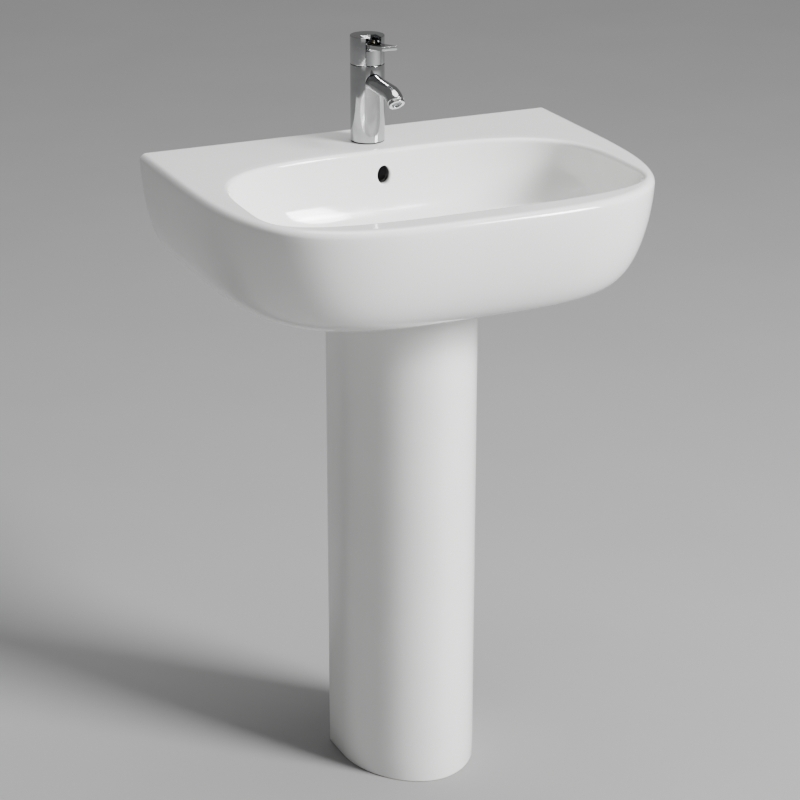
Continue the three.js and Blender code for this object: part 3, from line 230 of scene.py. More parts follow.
@dataclass(frozen=True)
class GlazedChina:
    """White vitreous china: a glassy glaze over a faintly uneven body, bare clay at the foot."""

    glaze: Rgb = (0.86, 0.86, 0.85)
    shade: Rgb = (0.82, 0.82, 0.81)
    cloud: Noise = Noise(6.0, 3.0)
    cloud_window: Pair = (0.35, 0.65)
    clay: Rgb = (0.70, 0.67, 0.62)
    clay_roughness: float = 0.8
    bare_height: float = 0.0022
    ragged: Noise = Noise(160.0, 2.0)
    ragged_height: float = 0.002
    ragged_fade: float = 0.4
    # Painted shade: a near-black colour in a small sphere round the overflow mouth stands in for
    # the shadow inside the hole.
    painted_overflow_shade: Rgb = (0.035, 0.035, 0.034)
    painted_shade_centre: Rgb = (0.0, 0.127, 0.816)
    painted_shade_reach: float = 0.0165
    painted_shade_fade: float = 0.003
    smears: Noise = Noise(24.0, 4.0)
    smear_window: Pair = (0.3, 0.7)
    roughness: Pair = (0.07, 0.15)
    waves: Noise = Noise(9.0, 1.0)
    wave_relief: Relief = Relief(0.25, 0.0012)
    pinholes: Noise = Noise(260.0, 2.0)
    pinhole_relief: Relief = Relief(0.05, 0.0002)

    def build(self) -> bpy.types.Material:
        """Make the material: cloudy glaze, bare clay at the foot and painted shade, near-black and
        dull, round the overflow mouth.

        Returns:
            The material.
        """
        sheet = NodeSheet("glazed_china")
        glaze = sheet.blend(sheet.noise(self.cloud), self.cloud_window, self.glaze, self.shade)
        height = sheet.add("SeparateXYZ", "Z", {"Vector": sheet.place})
        ragged = sheet.maths("MULTIPLY_ADD", sheet.noise(self.ragged), -self.ragged_height, height)
        clay_top = self.bare_height - self.ragged_height
        clay = sheet.spread(ragged, (1.0, 0.0),
                            (clay_top, clay_top + self.ragged_fade * self.ragged_height))
        # Painted shade: near-black and dull within a sphere round the overflow mouth, in place of
        # the shadow in the hole.
        away = sheet.add("VectorMath", "Value", {0: sheet.place, 1: self.painted_shade_centre},
                         operation="DISTANCE")
        painted_overflow_shade = sheet.spread(away, (1.0, 0.0),
                             (self.painted_shade_reach - self.painted_shade_fade, self.painted_shade_reach))
        colour = sheet.covered(painted_overflow_shade, sheet.covered(clay, glaze, self.clay), self.painted_overflow_shade)
        gloss = sheet.spread(sheet.noise(self.smears), self.roughness, self.smear_window)
        dull = sheet.spread(sheet.maths("MAXIMUM", clay, painted_overflow_shade), (0.0, self.clay_roughness))
        return sheet.finish(
            (sheet.noise(self.waves), self.wave_relief),
            (sheet.noise(self.pinholes), self.pinhole_relief),
            Base_Color=colour, Roughness=sheet.maths("MAXIMUM", gloss, dull), IOR=1.52,
            Coat_Weight=0.35, Coat_Roughness=0.04, Coat_IOR=1.5)


@dataclass(frozen=True)
class PolishedChrome:
    """Chrome plate: mirror bright, with wiping marks and a few dried water spots."""

    bright: Rgb = (0.56, 0.565, 0.57)
    dull: Rgb = (0.47, 0.475, 0.485)
    haze: Noise = Noise(45.0, 4.0)
    tint_window: Pair = (0.35, 0.75)
    haze_window: Pair = (0.3, 0.7)
    roughness: Pair = (0.035, 0.09)
    spots: float = 150.0
    spot_roughness: Pair = (0.10, 0.0)
    spot_window: Pair = (0.10, 0.22)
    wiped: Noise = Noise(260.0, 3.0, 0.12)
    wiped_relief: Relief = Relief(0.04, 0.0001)
    ripple: Noise = Noise(30.0, 1.0)
    ripple_relief: Relief = Relief(0.03, 0.0002)

    def build(self) -> bpy.types.Material:
        """Make the material: tint, roughness and a shallow polish ripple follow noise.

        Returns:
            The material.
        """
        sheet = NodeSheet("polished_chrome")
        haze = sheet.noise(self.haze)
        cells = sheet.add("TexVoronoi", "Distance", {"Vector": sheet.place, "Scale": self.spots})
        spots = sheet.spread(cells, self.spot_roughness, self.spot_window)
        film = sheet.spread(haze, self.roughness, self.haze_window)
        return sheet.finish(
            (sheet.noise(self.wiped), self.wiped_relief),
            (sheet.noise(self.ripple), self.ripple_relief),
            Base_Color=sheet.blend(haze, self.tint_window, self.bright, self.dull),
            Roughness=sheet.maths("ADD", spots, film), Metallic=1.0, Specular_IOR_Level=0.5)


@dataclass(frozen=True)
class TurnedMetal:
    """Bare metal from a lathe or a press: fine lines round the work and a dull sheen."""

    name: str
    light: Rgb
    dark: Rgb
    gloss: float
    gloss_spread: Pair = (-0.06, 0.14)
    gloss_window: Pair = (0.3, 0.7)
    lines: Noise = Noise(40.0, 3.0, 60.0)
    line_relief: Relief = Relief(0.12, 0.0001)
    cloud: Noise = Noise(55.0, 5.0)
    cloud_window: Pair = (0.35, 0.7)
    cloud_relief: Relief = Relief(0.08, 0.0002)

    def build(self) -> bpy.types.Material:
        """Make the material: lines across Z, tarnish clouds and uneven roughness.

        Returns:
            The material.
        """
        sheet = NodeSheet(self.name)
        lines, cloud = sheet.noise(self.lines), sheet.noise(self.cloud)
        rough = tuple(self.gloss + part for part in self.gloss_spread)
        return sheet.finish(
            (lines, self.line_relief), (cloud, self.cloud_relief),
            Base_Color=sheet.blend(cloud, self.cloud_window, self.light, self.dark),
            Roughness=sheet.spread(lines, rough, self.gloss_window), Metallic=1.0)


@dataclass(frozen=True)
class MouldedPlastic:
    """Injection moulded plastic: even colour, fine mould grain and soft flow marks."""

    name: str
    base: Rgb
    shade: Rgb
    gloss: float
    gloss_spread: Pair = (-0.05, 0.1)
    cloud: Noise = Noise(28.0, 3.0)
    cloud_window: Pair = (0.3, 0.7)
    cloud_relief: Relief = Relief(0.08, 0.0006)
    grain: Noise = Noise(900.0, 2.0)
    grain_relief: Relief = Relief(0.12, 0.0001)

    def build(self) -> bpy.types.Material:
        """Make the material: clouded colour, grain bump and roughness that varies.

        Returns:
            The material.
        """
        sheet = NodeSheet(self.name)
        cloud = sheet.noise(self.cloud)
        rough = tuple(self.gloss + part for part in self.gloss_spread)
        return sheet.finish(
            (sheet.noise(self.grain), self.grain_relief), (cloud, self.cloud_relief),
            Base_Color=sheet.blend(cloud, self.cloud_window, self.base, self.shade),
            Roughness=sheet.spread(cloud, rough, self.cloud_window), IOR=1.5,
            Specular_IOR_Level=0.45)


@dataclass(frozen=True)
class MouldedRubber:
    """Black rubber with a bloom of grey dust and a pebbled skin."""

    base: Rgb = (0.020, 0.020, 0.021)
    bloom: Rgb = (0.060, 0.060, 0.062)
    dust: Noise = Noise(120.0, 5.0)
    dust_window: Pair = (0.4, 0.8)
    roughness: Pair = (0.55, 0.8)
    pebbles: Noise = Noise(1200.0, 2.0)
    relief: Relief = Relief(0.2, 0.0001)

    def build(self) -> bpy.types.Material:
        """Make the material: dusty colour over a rough, pebbled surface.

        Returns:
            The material.
        """
        sheet = NodeSheet("moulded_rubber")
        dust = sheet.noise(self.dust)
        return sheet.finish(
            (sheet.noise(self.pebbles), self.relief),
            Base_Color=sheet.blend(dust, self.dust_window, self.base, self.bloom),
            Roughness=sheet.spread(dust, self.roughness))


@dataclass(frozen=True)
class PalePaint:
    """The studio floor: plain, matt and pale, with a faint mottle."""

    colour: Rgb = (0.33, 0.33, 0.33)
    darker: float = 0.97
    mottle: Noise = Noise(3.0, 3.0)
    window: Pair = (0.3, 0.7)

    def build(self) -> bpy.types.Material:
        """Make the material.

        Returns:
            The material.
        """
        sheet = NodeSheet("pale_floor")
        shade = tuple(self.darker * part for part in self.colour)
        tone = sheet.blend(sheet.noise(self.mottle), self.window, self.colour, shade)
        return sheet.finish(Base_Color=tone, Roughness=0.75, Specular_IOR_Level=0.2)


class Finishes:
    """Every finish of the sink, made once and handed out by slot."""

    def __init__(self) -> None:
        """Build the material of each slot."""
        makers = {
            Slot.CHINA: GlazedChina(),
            Slot.CHROME: PolishedChrome(),
            Slot.RUBBER: MouldedRubber(),
            Slot.BRASS: TurnedMetal("bare_brass", (0.72, 0.55, 0.27), (0.55, 0.41, 0.20), 0.28),
            Slot.WHITE_PLASTIC: MouldedPlastic(
                "white_polypropylene", (0.83, 0.83, 0.82), (0.79, 0.79, 0.77), 0.32),
            Slot.GREY_PLASTIC: MouldedPlastic(
                "grey_acetal", (0.40, 0.41, 0.42), (0.34, 0.35, 0.36), 0.38),
            Slot.STEEL: TurnedMetal("zinc_steel", (0.63, 0.64, 0.66), (0.50, 0.51, 0.53), 0.34),
        }
        self.materials = {slot: maker.build() for slot, maker in makers.items()}

    def dress(self, piece: Obj, slot: Slot) -> None:
        """Give a piece the material of a slot and nothing else."""
        piece.data.materials.clear()
        piece.data.materials.append(self.materials[slot])


# ------------------------------------------------------------------------------- surfaces


class Axis(Enum):
    """The direction that a turned piece points in."""

    UP = (0.0, 0.0, 1.0)
    BACK = (0.0, 1.0, 0.0)
    FRONT = (0.0, -1.0, 0.0)
    ACROSS = (1.0, 0.0, 0.0)

    def at(self, *origin: float) -> Matrix:
        """The placement that turns upright work onto this axis through a point."""
        return lying(self.value, origin)


def lying(axis: Nums, origin: Nums) -> Matrix:
    """The placement that turns upright work onto a direction through a point."""
    turn = Vector(Axis.UP.value).rotation_difference(Vector(axis)).to_matrix().to_4x4()
    return Matrix.Translation(Vector(origin)) @ turn


def signed_power(value: Array, exponent: float) -> Array:
    """Raise a value's size to a power and keep its sign."""
    return np.sign(value) * np.abs(value) ** exponent


def unit(rows: Array) -> Array:
    """Each row divided by its length."""
    return rows / np.linalg.norm(rows, axis=1, keepdims=True)


def quarter(steps: int) -> Array:
    """Pairs of 1 - cos a and sin a for even angles from 0 to a right angle."""
    angle = np.linspace(0.0, math.pi / 2.0, steps + 1)
    return np.stack([1.0 - np.cos(angle), np.sin(angle)], axis=1)


def lattice(rows: int, cols: int, wrap_rows: bool) -> Array:
    """The quads between neighbouring points of a grid whose rows are closed loops.

    Args:
        rows: how many rows of points.
        cols: how many points in a row.
        wrap_rows: whether the last row joins the first.

    Returns:
        An array of four point numbers for each quad.
    """
    i, j = np.meshgrid(np.arange(rows if wrap_rows else rows - 1), np.arange(cols), indexing="ij")
    down, right = (i + 1) % rows, (j + 1) % cols
    corners = (i * cols + j, i * cols + right, down * cols + right, down * cols + j)
    return np.stack(corners, axis=-1).reshape(-1, 4)


def enclosed(points: Array, faces: Sequence[Sequence[int]]) -> float:
    """The volume that outward faces enclose; it is negative when they point inwards.

    Args:
        points: the vertices.
        faces: the faces, as rows of vertex numbers.

    Returns:
        The signed volume: the sum of the tetrahedra from the origin to a fan of each face.
    """
    total = 0.0
    sizes = np.array([len(face) for face in faces])
    for size in np.unique(sizes):
        block = np.array([face for face, many in zip(faces, sizes) if many == size])
        first = points[block[:, 0]]
        for corner in range(1, size - 1):
            cross = np.cross(points[block[:, corner]], points[block[:, corner + 1]])
            total += float(np.einsum("ij,ij->", first, cross)) / 6.0
    return total


def smooth(mesh: bpy.types.Mesh, crease: float) -> None:
    """Shade a mesh smooth, except at edges sharper than a number of degrees."""
    mesh.shade_smooth()
    mesh.set_sharp_from_angle(angle=math.radians(crease))


def new_object(name: str, points: Array, faces: Sequence[Sequence[int]], crease: float) -> Obj:
    """Put points and faces into a mesh object at the origin, faces outwards, smooth shaded.

    Args:
        name: the object's name.
        points: the vertices, n by 3.
        faces: rows of vertex numbers.
        crease: edges sharper than this many degrees stay crisp.

    Returns:
        The linked object.
    """
    if enclosed(points, faces) < 0.0:
        faces = [face[::-1] for face in faces]
    mesh = bpy.data.meshes.new(name)
    mesh.from_pydata(points.tolist(), [], faces)
    mesh.validate()
    smooth(mesh, crease)
    piece = bpy.data.objects.new(name, mesh)
    bpy.context.scene.collection.objects.link(piece)
    return piece


class Ends(Enum):
    """How the first and last loop of a grid are closed."""

    JOINED = "the last loop joins the first"
    FAN = "triangles round the middle of each end loop"
    FLAT = "one face across each end loop"


def grid_object(name: str, points: Array, ends: Ends = Ends.FAN, crease: float = CREASE) -> Obj:
    """Make an object from rows of closed loops.

    Args:
        name: the object's name.
        points: rows by columns by 3; each row is a closed loop.
        ends: how the first and last row are closed.
        crease: as in new_object.

    Returns:
        The linked object.
    """
    rows, cols, _ = points.shape
    faces = lattice(rows, cols, ends is Ends.JOINED).tolist()
    flat = points.reshape(-1, 3)
    here = np.arange(cols)
    last_row = (rows - 1) * cols
    if ends is Ends.FLAT:
        faces += [here[::-1].tolist(), (last_row + here).tolist()]
    if ends is Ends.FAN:
        count = len(flat)
        flat = np.vstack([flat, points[0].mean(axis=0), points[-1].mean(axis=0)])
        after = (here + 1) % cols
        first = np.stack([after, here, np.full(cols, count)], axis=1)
        last = np.stack([last_row + here, last_row + after, np.full(cols, count + 1)], axis=1)
        faces += first.tolist() + last.tolist()
    return new_object(name, flat, faces, crease)


def softened(corners: Sequence[Nums], radius: float, steps: int = 4, closed: bool = False) -> Array:
    """Round the corners of an outline.

    Each corner is replaced by a parabola that leaves its two sides `radius` away from it, or a
    little less than half of the side's length where that is less.

    Args:
        corners: the outline's corner points, two numbers each.
        radius: how far from a corner the rounding starts.
        steps: how many chords make each rounding.
        closed: whether the outline closes on itself; otherwise its ends stay as they are.

    Returns:
        The rounded outline's points.
    """
    side_share = 0.45
    points = np.asarray(corners, float)
    before, after = np.roll(points, 1, axis=0), np.roll(points, -1, axis=0)
    back, ahead = before - points, after - points
    back_size = np.linalg.norm(back, axis=1, keepdims=True)
    ahead_size = np.linalg.norm(ahead, axis=1, keepdims=True)
    start = points + back / back_size * np.minimum(radius, side_share * back_size)
    end = points + ahead / ahead_size * np.minimum(radius, side_share * ahead_size)
    t = np.linspace(0.0, 1.0, steps + 1)[None, :, None]
    curve = ((1 - t) ** 2 * start[:, None] + 2 * t * (1 - t) * points[:, None]
             + t ** 2 * end[:, None])
    if closed:
        return curve.reshape(-1, 2)
    return np.vstack([points[:1], curve[1:-1].reshape(-1, 2), points[-1:]])


def turned(name: str, profile: Array, centre: Nums = (0.0, 0.0), sides: int = 72,
           ends: Ends = Ends.JOINED, shape: Optional[Shape] = None, place: Optional[Matrix] = None,
           crease: float = CREASE) -> Obj:
    """Turn a profile about an upright axis.

    A point of the profile at radius r and height z goes to r times (cos a, sin a) from the axis,
    for the angles a all round; `shape` may change r by angle, for ribs, flats or threads.

    Args:
        name: the object's name.
        profile: n points of radius and height.
        centre: the axis's x and y.
        sides: how many angles.
        ends: JOINED for a ring, FAN or FLAT for a body that the axis passes through.
        shape: from radius, height and angle to the radius that is used.
        place: moves the finished points, for work that lies on its side.
        crease: as in new_object.

    Returns:
        The linked object.
    """
    angle = np.broadcast_to(np.linspace(0.0, TAU, sides, endpoint=False), (len(profile), sides))
    radius = np.broadcast_to(profile[:, :1], angle.shape)
    height = np.broadcast_to(profile[:, 1:2], angle.shape)
    if shape is not None:
        radius = shape(radius, height, angle)
    points = np.stack(
        [centre[0] + radius * np.cos(angle), centre[1] + radius * np.sin(angle), height], axis=-1)
    if place is not None:
        points = points @ np.array(place.to_3x3()).T + np.array(place.translation)
    return grid_object(name, points, ends, crease)


def lathe(name: str, corners: Sequence[Nums], soft: float, steps: int = 4,
          **turning: object) -> Obj:
    """Turn a profile with softened corners, which closes on itself unless it has ends.

    Args:
        name: the object's name.
        corners: the profile's corners, radius and height.
        soft: how far from a corner the rounding starts.
        steps: how many chords make each rounding.
        **turning: further arguments of turned.

    Returns:
        The linked object.
    """
    return turned(name, softened(corners, soft, steps, "ends" not in turning), **turning)


def section_along(line: Array, half_width: float | Array, half_depth: float | Array,
                  exponent: float, sides: int) -> Array:
    """Carry a superellipse section along a line in the plane x = 0.

    The section's point at angle a is half_width * cos(a)^(2 / exponent) along X and
    half_depth * sin(a)^(2 / exponent) along the line's own normal in the plane.

    Args:
        line: n points of y and z.
        half_width: the section's reach along X, or that at each point.
        half_depth: its reach along the normal, or that at each point.
        exponent: 2 for an ellipse, more for a squarer section.
        sides: points round the section.

    Returns:
        Rows of section points, n by sides by 3.
    """
    along = unit(np.gradient(line, axis=0))
    normal = np.stack([-along[:, 1], along[:, 0]], axis=1)
    angle = np.linspace(0.0, TAU, sides, endpoint=False)
    across = signed_power(np.cos(angle), 2.0 / exponent)
    up = signed_power(np.sin(angle), 2.0 / exponent)
    width, depth = (np.broadcast_to(half, len(line))[:, None] for half in (half_width, half_depth))
    y = line[:, :1] + depth * up * normal[:, :1]
    z = line[:, 1:] + depth * up * normal[:, 1:]
    return np.stack([width * across, y, z], axis=-1)


def carve(piece: Obj, away: Sequence[Obj] = (), onto: Sequence[Obj] = (),
          crease: float = CREASE) -> None:
    """Join closed objects onto a piece, then cut others out of it, and remove the tools.

    Args:
        piece: the object whose mesh is replaced by the result.
        away: what is cut out.
        onto: what is joined on first.
        crease: as in new_object.
    """
    for tool, operation in [(t, "UNION") for t in onto] + [(t, "DIFFERENCE") for t in away]:
        modifier = piece.modifiers.new(tool.name, "BOOLEAN")
        modifier.operation = operation
        modifier.solver = "EXACT"
        modifier.object = tool
    graph = bpy.context.evaluated_depsgraph_get()
    mesh = bpy.data.meshes.new_from_object(piece.evaluated_get(graph))
    piece.modifiers.clear()
    old = piece.data
    piece.data = mesh
    bpy.data.meshes.remove(old)
    mesh.name = piece.name
    for tool in (*away, *onto):
        bpy.data.objects.remove(tool)
    smooth(mesh, crease)


def rod(name: str, radius: float, start: float, end: float, place: Optional[Matrix] = None,
        centre: Nums = (0.0, 0.0), sides: int = 48) -> Obj:
    """A plain closed cylinder between two heights, for cutting and joining."""
    profile = np.array([[radius, start], [radius, end]])
    return turned(name, profile, centre, sides, Ends.FLAT, place=place)


def drawn_across(name: str, outline: Sequence[Nums], low: float, high: float) -> Obj:
    """An outline in y and z carried along X from one place to another, with flat ends."""
    rows = [np.column_stack([np.full(len(outline), x), outline]) for x in (low, high)]
    return grid_object(name, np.stack(rows), Ends.FLAT, 30.0)


def slab(name: str, low: Nums, high: Nums) -> Obj:
    """A rectangular block between two corners.

    Args:
        name: the object's name.
        low: its least x, y and z.
        high: its greatest x, y and z.

    Returns:
        The linked object.
    """
    (x0, y0, z0), (x1, y1, z1) = low, high
    loop = [(x0, y0), (x1, y0), (x1, y1), (x0, y1)]
    rows = np.array([[(x, y, z) for x, y in loop] for z in (z0, z1)])
    return grid_object(name, rows, Ends.FLAT)


def bevelled(piece: Obj, width: float) -> None:
    """Round a piece's sharp edges with a bevel modifier.

    Args:
        piece: the piece.
        width: the bevel's width.
    """
    modifier = piece.modifiers.new("edge", "BEVEL")
    modifier.width = width
    modifier.segments = 2
    modifier.limit_method = "ANGLE"
    modifier.angle_limit = math.radians(40.0)


@dataclass(frozen=True)
class Box:
    """A CAD node's box at rest."""

    low: Vector
    high: Vector

    @classmethod
    def of(cls, node: str) -> "Box":
        """Read the box of a CAD node."""
        low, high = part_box(node)
        return cls(low, high)

    @property
    def middle(self) -> Vector:
        """The centre of the box."""
        return (self.low + self.high) / 2.0

    @property
    def size(self) -> Vector:
        """The box's three lengths."""
        return self.high - self.low


@dataclass(frozen=True)
class Seat:
    """Where a turned CAD node lies: its axis, its length along it and its widest and narrowest."""

    place: Matrix
    length: float
    radius: float
    across: float

    @classmethod
    def of(cls, node: str, axis: Axis) -> "Seat":
        """Read a turned node's seat from its box.

        Args:
            node: the CAD node.
            axis: its direction.

        Returns:
            The placement of its start, its length, its widest radius and its narrowest width.
        """
        box = Box.of(node)
        way = Vector(axis.value)
        length = box.size.dot(way)
        widths = sorted(size for size, part in zip(box.size, way) if part == 0.0)
        return cls(axis.at(*(box.middle - way * length / 2.0)), length, widths[-1] / 2.0, widths[0])


@dataclass
class Assembly:
    """A sub-assembly: it knows its finishes, and rides and reports each piece that it makes."""

    finishes: Finishes

    def keep(self, piece: Obj, slot: Slot, body: str, *nodes: str) -> None:
        """Dress a piece, let it ride on a body and stand for its CAD nodes.

        Args:
            piece: the finished piece.
            slot: its material slot.
            body: the CAD body that it moves with.
            *nodes: the CAD nodes that it replaces.
        """
        self.finishes.dress(piece, slot)
        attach(piece, body)
        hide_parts(*nodes)
        log.info("%s: %d faces on body %s", piece.name, len(piece.data.polygons), body)

    def carry(self, node: str, slot: Slot) -> None:
        """Show a CAD node as it is, in the finish of its slot."""
        self.finishes.dress(frame["nodes"][node], slot)
        log.info("%s: carried over in %s", node, slot.value)


# ------------------------------------------------------------------------------- china


SIDE_POINTS, BACK_POINTS, FRONT_POINTS = 14, 72, 150


def superellipse(angle: Array, half: float | Array, nose: float | Array, n: float) -> Array:
    """The radius at each angle of |x / half|^n + |y / nose|^n = 1."""
    return (np.abs(np.cos(angle) / half) ** n + np.abs(np.sin(angle) / nose) ** n) ** (-1.0 / n)


def d_outline(half: float, nose: float, exponent: float, centre: float, rear: float,
              stretch: float) -> Array:
    """A plan outline with a flat back and a superellipse front.

    The front is |x / half|^n + |y / nose|^n = 1 about the centre line, sampled by direction. Each
    side bends in towards the back by the same law with `stretch` in place of the nose.

    Args:
        half: half the width at the centre line.
        nose: how far the front reaches from the centre line.
        exponent: the superellipse's n.
        centre: y of the centre line.
        rear: y of the flat back.
        stretch: the reach that the sides' law has to the back.

    Returns:
        The closed outline, from the right side round the back and the left side to the front.
    """
    reach = np.linspace(0.0, rear - centre, SIDE_POINTS, endpoint=False)
    law = (1.0 - (np.append(reach, rear - centre) / stretch) ** exponent) ** (1.0 / exponent)
    x_side, x_corner = half * law[:-1], half * law[-1]
    x_back = np.linspace(x_corner, -x_corner, BACK_POINTS, endpoint=False)
    angle = np.linspace(math.pi, TAU, FRONT_POINTS, endpoint=False)
    radius = superellipse(angle, half, nose, exponent)
    right = np.stack([x_side, centre + reach], axis=1)
    back = np.stack([x_back, np.full(BACK_POINTS, rear)], axis=1)
    left = np.stack([-np.append(x_corner, x_side[:0:-1]),
                     centre + np.append(rear - centre, reach[:0:-1])], axis=1)
    front = np.stack([radius * np.cos(angle), centre + radius * np.sin(angle)], axis=1)
    return np.vstack([right, back, left, front])


def at_height(outline: Array, z: float) -> Array:
    """An outline's points lifted to a height."""
    return np.column_stack([outline, np.full(len(outline), z)])


def between(first: Array, last: Array, steps: int) -> list[Array]:
    """The rows that lie evenly between two rows, without either of them."""
    return [first + (last - first) * k / steps for k in range(1, steps)]


@dataclass
class Basin(Assembly):
    """The basin: flat rim and tap deck, a deep bowl, an apron that tucks under, a hollow back."""

    wall: float = 0.012
    deck_thickness: float = 0.016
    rim_radius: float = 0.009
    side_tuck: float = 0.090
    front_tuck: float = 0.118
    tuck_start: float = 1.5
    tuck_end: float = 4.0
    tuck_spacing: float = 1.6
    plan_exponent: float = 3.7
    widest_from_wall: float = 0.095
    back_stretch: float = 0.600
    bowl_lip: float = 0.040
    tap_deck: float = 0.113
    bowl_front: float = 0.108
    mouth_radius: float = 0.006
    floor_thickness: float = 0.030
    bowl_exponent: float = 3.4
    bowl_wall_exponent: float = 2.9
    drain_from_wall: float = 0.230
    drain_radius: float = 0.023
    seat_radius: float = 0.034
    seat_depth: float = 0.0032
    seat_rise: float = 0.0004
    boss_radius: float = 0.040
    boss_depth: float = 0.024
    boss_lap: float = 0.001
    soft_edge: float = 0.0015
    deepest_share: float = 0.982
    overflow_drop: float = 0.034
    overflow_half: Pair = (0.009, 0.0125)
    overflow_lead: float = 0.02
    duct_half_width: float = 0.017
    duct_depth: float = 0.008
    duct_wall: float = 0.006
    duct_lap: float = 0.001
    duct_top: Pair = (0.09, 0.12)
    duct_foot: float = 0.975
    duct_exponent: float = 9.0
    service_half: float = 0.0775
    service_shoulder: float = 0.045
    service_nose: float = 0.102
    service_rear: float = 0.187
    service_exponent: float = 1.9
    straight: float = 1.0e3
    tap_hole: float = 0.0175
    tap_from_wall: float = 0.060
    tap_bore: Pair = (-0.03, 0.01)
    stud_hole: float = 0.0072
    stud_drop: float = 0.082
    stud_spacing: float = 0.280
    crease: float = 32.0

    def __post_init__(self) -> None:
        """Take the outer sizes from the CAD basin's box."""
        box = Box.of("basin")
        self.top, self.foot = box.high.z, box.low.z
        self.wall_y, self.depth = box.high.y, box.size.y
        self.half = box.size.x / 2.0
        self.floor = self.foot + self.floor_thickness
        self.mouth = self.top - self.mouth_radius
        self.bowl_widest = self.depth - self.bowl_lip - self.bowl_front
        self.drain_y = self.wall_y - self.drain_from_wall

    def outside(self, z: float, shrink: float, tuck: float, rear: float) -> Array:
        """One row of the outside.

        Args:
            z: its height.
            shrink: how far the plan is drawn in all round.
            tuck: the share of the apron's tuck that is taken off as well.
            rear: y of the flat back.

        Returns:
            The row's points.
        """
        centre = self.wall_y - self.widest_from_wall
        half = self.half - shrink - self.side_tuck * tuck
        nose = self.depth - self.widest_from_wall - shrink - self.front_tuck * tuck
        return at_height(
            d_outline(half, nose, self.plan_exponent, centre, rear, self.back_stretch), z)

    def apron(self, shrink: float, top: float, foot: float, rear: float,
              steps: int) -> list[Array]:
        """The apron's rows: for a share t of the tuck it has fallen (1 - (1 - t)^e)^(1 / s).

        Args:
            shrink: how far the rows lie inside the outer plan.
            top: the first row's height.
            foot: the last row's height.
            rear: y of the flat back.
            steps: how many rows come after the first.

        Returns:
            The rows from the top down.
        """
        tuck = np.linspace(0.0, 1.0, steps + 1) ** self.tuck_spacing
        fall = (1.0 - (1.0 - tuck) ** self.tuck_end) ** (1.0 / self.tuck_start)
        heights = top - fall * (top - foot)
        return [self.outside(z, shrink, t, rear) for z, t in zip(heights, tuck)]

    def bowl(self, share: float, grow: float = 0.0, out: float = 0.0, lift: float = 0.0) -> Array:
        """A row of the bowl at a share of its depth.

        The row is a superellipse in plan, and its size follows (1 - share^m)^(1 / m), so that the
        section is a superellipse too. Points lie in the directions of the rim's points.

        Args:
            share: 0 at the mouth and 1 at the floor.
            grow: how far the row lies outside the inner surface.
            out: how far the mouth is opened further.
            lift: how far the row is raised.

        Returns:
            The row's points.
        """
        size = (1.0 - share ** self.bowl_wall_exponent) ** (1.0 / self.bowl_wall_exponent)
        half = size * (self.half - self.bowl_lip + grow) + out
        front = size * (self.bowl_front + grow) + out
        back = size * (self.bowl_widest - self.tap_deck + grow) + out
        centre = self.drain_y - size * (self.bowl_widest - self.drain_from_wall)
        aim = self.aims
        reach = np.where(aim[:, 1] < 0.0, front, back)
        n = self.bowl_exponent
        radius = (np.abs(aim[:, 0] / half) ** n + np.abs(aim[:, 1] / reach) ** n) ** (-1.0 / n)
        z = self.mouth - share * (self.mouth - self.floor + grow) + lift
        return at_height(radius[:, None] * aim + (0.0, centre), z)

    def circle(self, radius: float, z: float) -> Array:
        """A round row about the drain, in the same directions."""
        return at_height(radius * self.aims + (0.0, self.drain_y), z)

    @property
    def aims(self) -> Array:
        """Unit directions from the bowl's centre to the rim's points."""
        rim = self.outside(self.top, self.rim_radius, 0.0, self.wall_y)[:, :2]
        return unit(rim - (0.0, self.wall_y - self.bowl_widest))

    def shell(self) -> Array:
        """The basin's whole skin.

        Returns:
            One grid of rows, which starts and ends at the drain.
        """
        soft, edge = quarter(4) * self.soft_edge, self.soft_edge
        hole, seat = self.drain_radius, self.seat_radius
        seat_z, seat_top = self.floor - self.seat_depth, self.floor + self.seat_rise
        # Up out of the drain hole, over its seat and out onto the bowl's floor.
        rows = [self.circle(hole, seat_z - edge)]
        rows += [self.circle(hole + a, seat_z - edge + b) for a, b in soft[1:]]
        rows += [self.circle(seat, seat_z)]
        rows += [self.circle(seat + a, seat_top - edge + b) for a, b in soft]
        rows += between(rows[-1], self.bowl(self.deepest_share), 7)
        # Up the bowl's wall and over its mouth.
        turns = np.linspace(1.0, 0.0, 34) * math.asin(self.deepest_share)
        rows += [self.bowl(math.sin(turn)) for turn in turns]
        rows += [self.bowl(0.0, 0.0, a * self.mouth_radius, b * self.mouth_radius)
                 for a, b in quarter(6)[1:]]
        # Across the deck, round the rim and down the apron.
        edge_z = self.top - self.rim_radius
        rim = [self.outside(edge_z + b * self.rim_radius, a * self.rim_radius, 0.0, self.wall_y)
               for a, b in quarter(7)[::-1]]
        rows += between(rows[-1], rim[0], 9) + rim
        rows += self.apron(0.0, edge_z, self.foot, self.wall_y, 40)[1:]
        # Along the underside and up through the service opening.
        lip = at_height(self.service(edge), self.foot)
        rows += between(rows[-1], lip, 6) + [lip]
        rows += [at_height(self.service(edge - b), self.foot + a) for a, b in soft[1:]]
        rows += [at_height(self.service(0.0), self.foot + self.wall * k / 3.0) for k in (1, 2, 3)]
        # Inside the hollow: out over the bottom plate, up the apron and in under the deck.
        inside = self.apron(self.wall, self.top - self.deck_thickness, self.foot + self.wall,
                            self.wall_y - self.wall, 16)[::-1]
        rows += between(rows[-1], inside[0], 4) + inside
        under_share = (self.deck_thickness - self.mouth_radius) / (
            self.mouth - self.floor + self.wall)
        shares = np.sin(np.linspace(math.asin(under_share), math.asin(self.deepest_share), 20))
        outer = [self.bowl(share, self.wall) for share in shares]
        rows += between(rows[-1], outer[0], 4) + outer
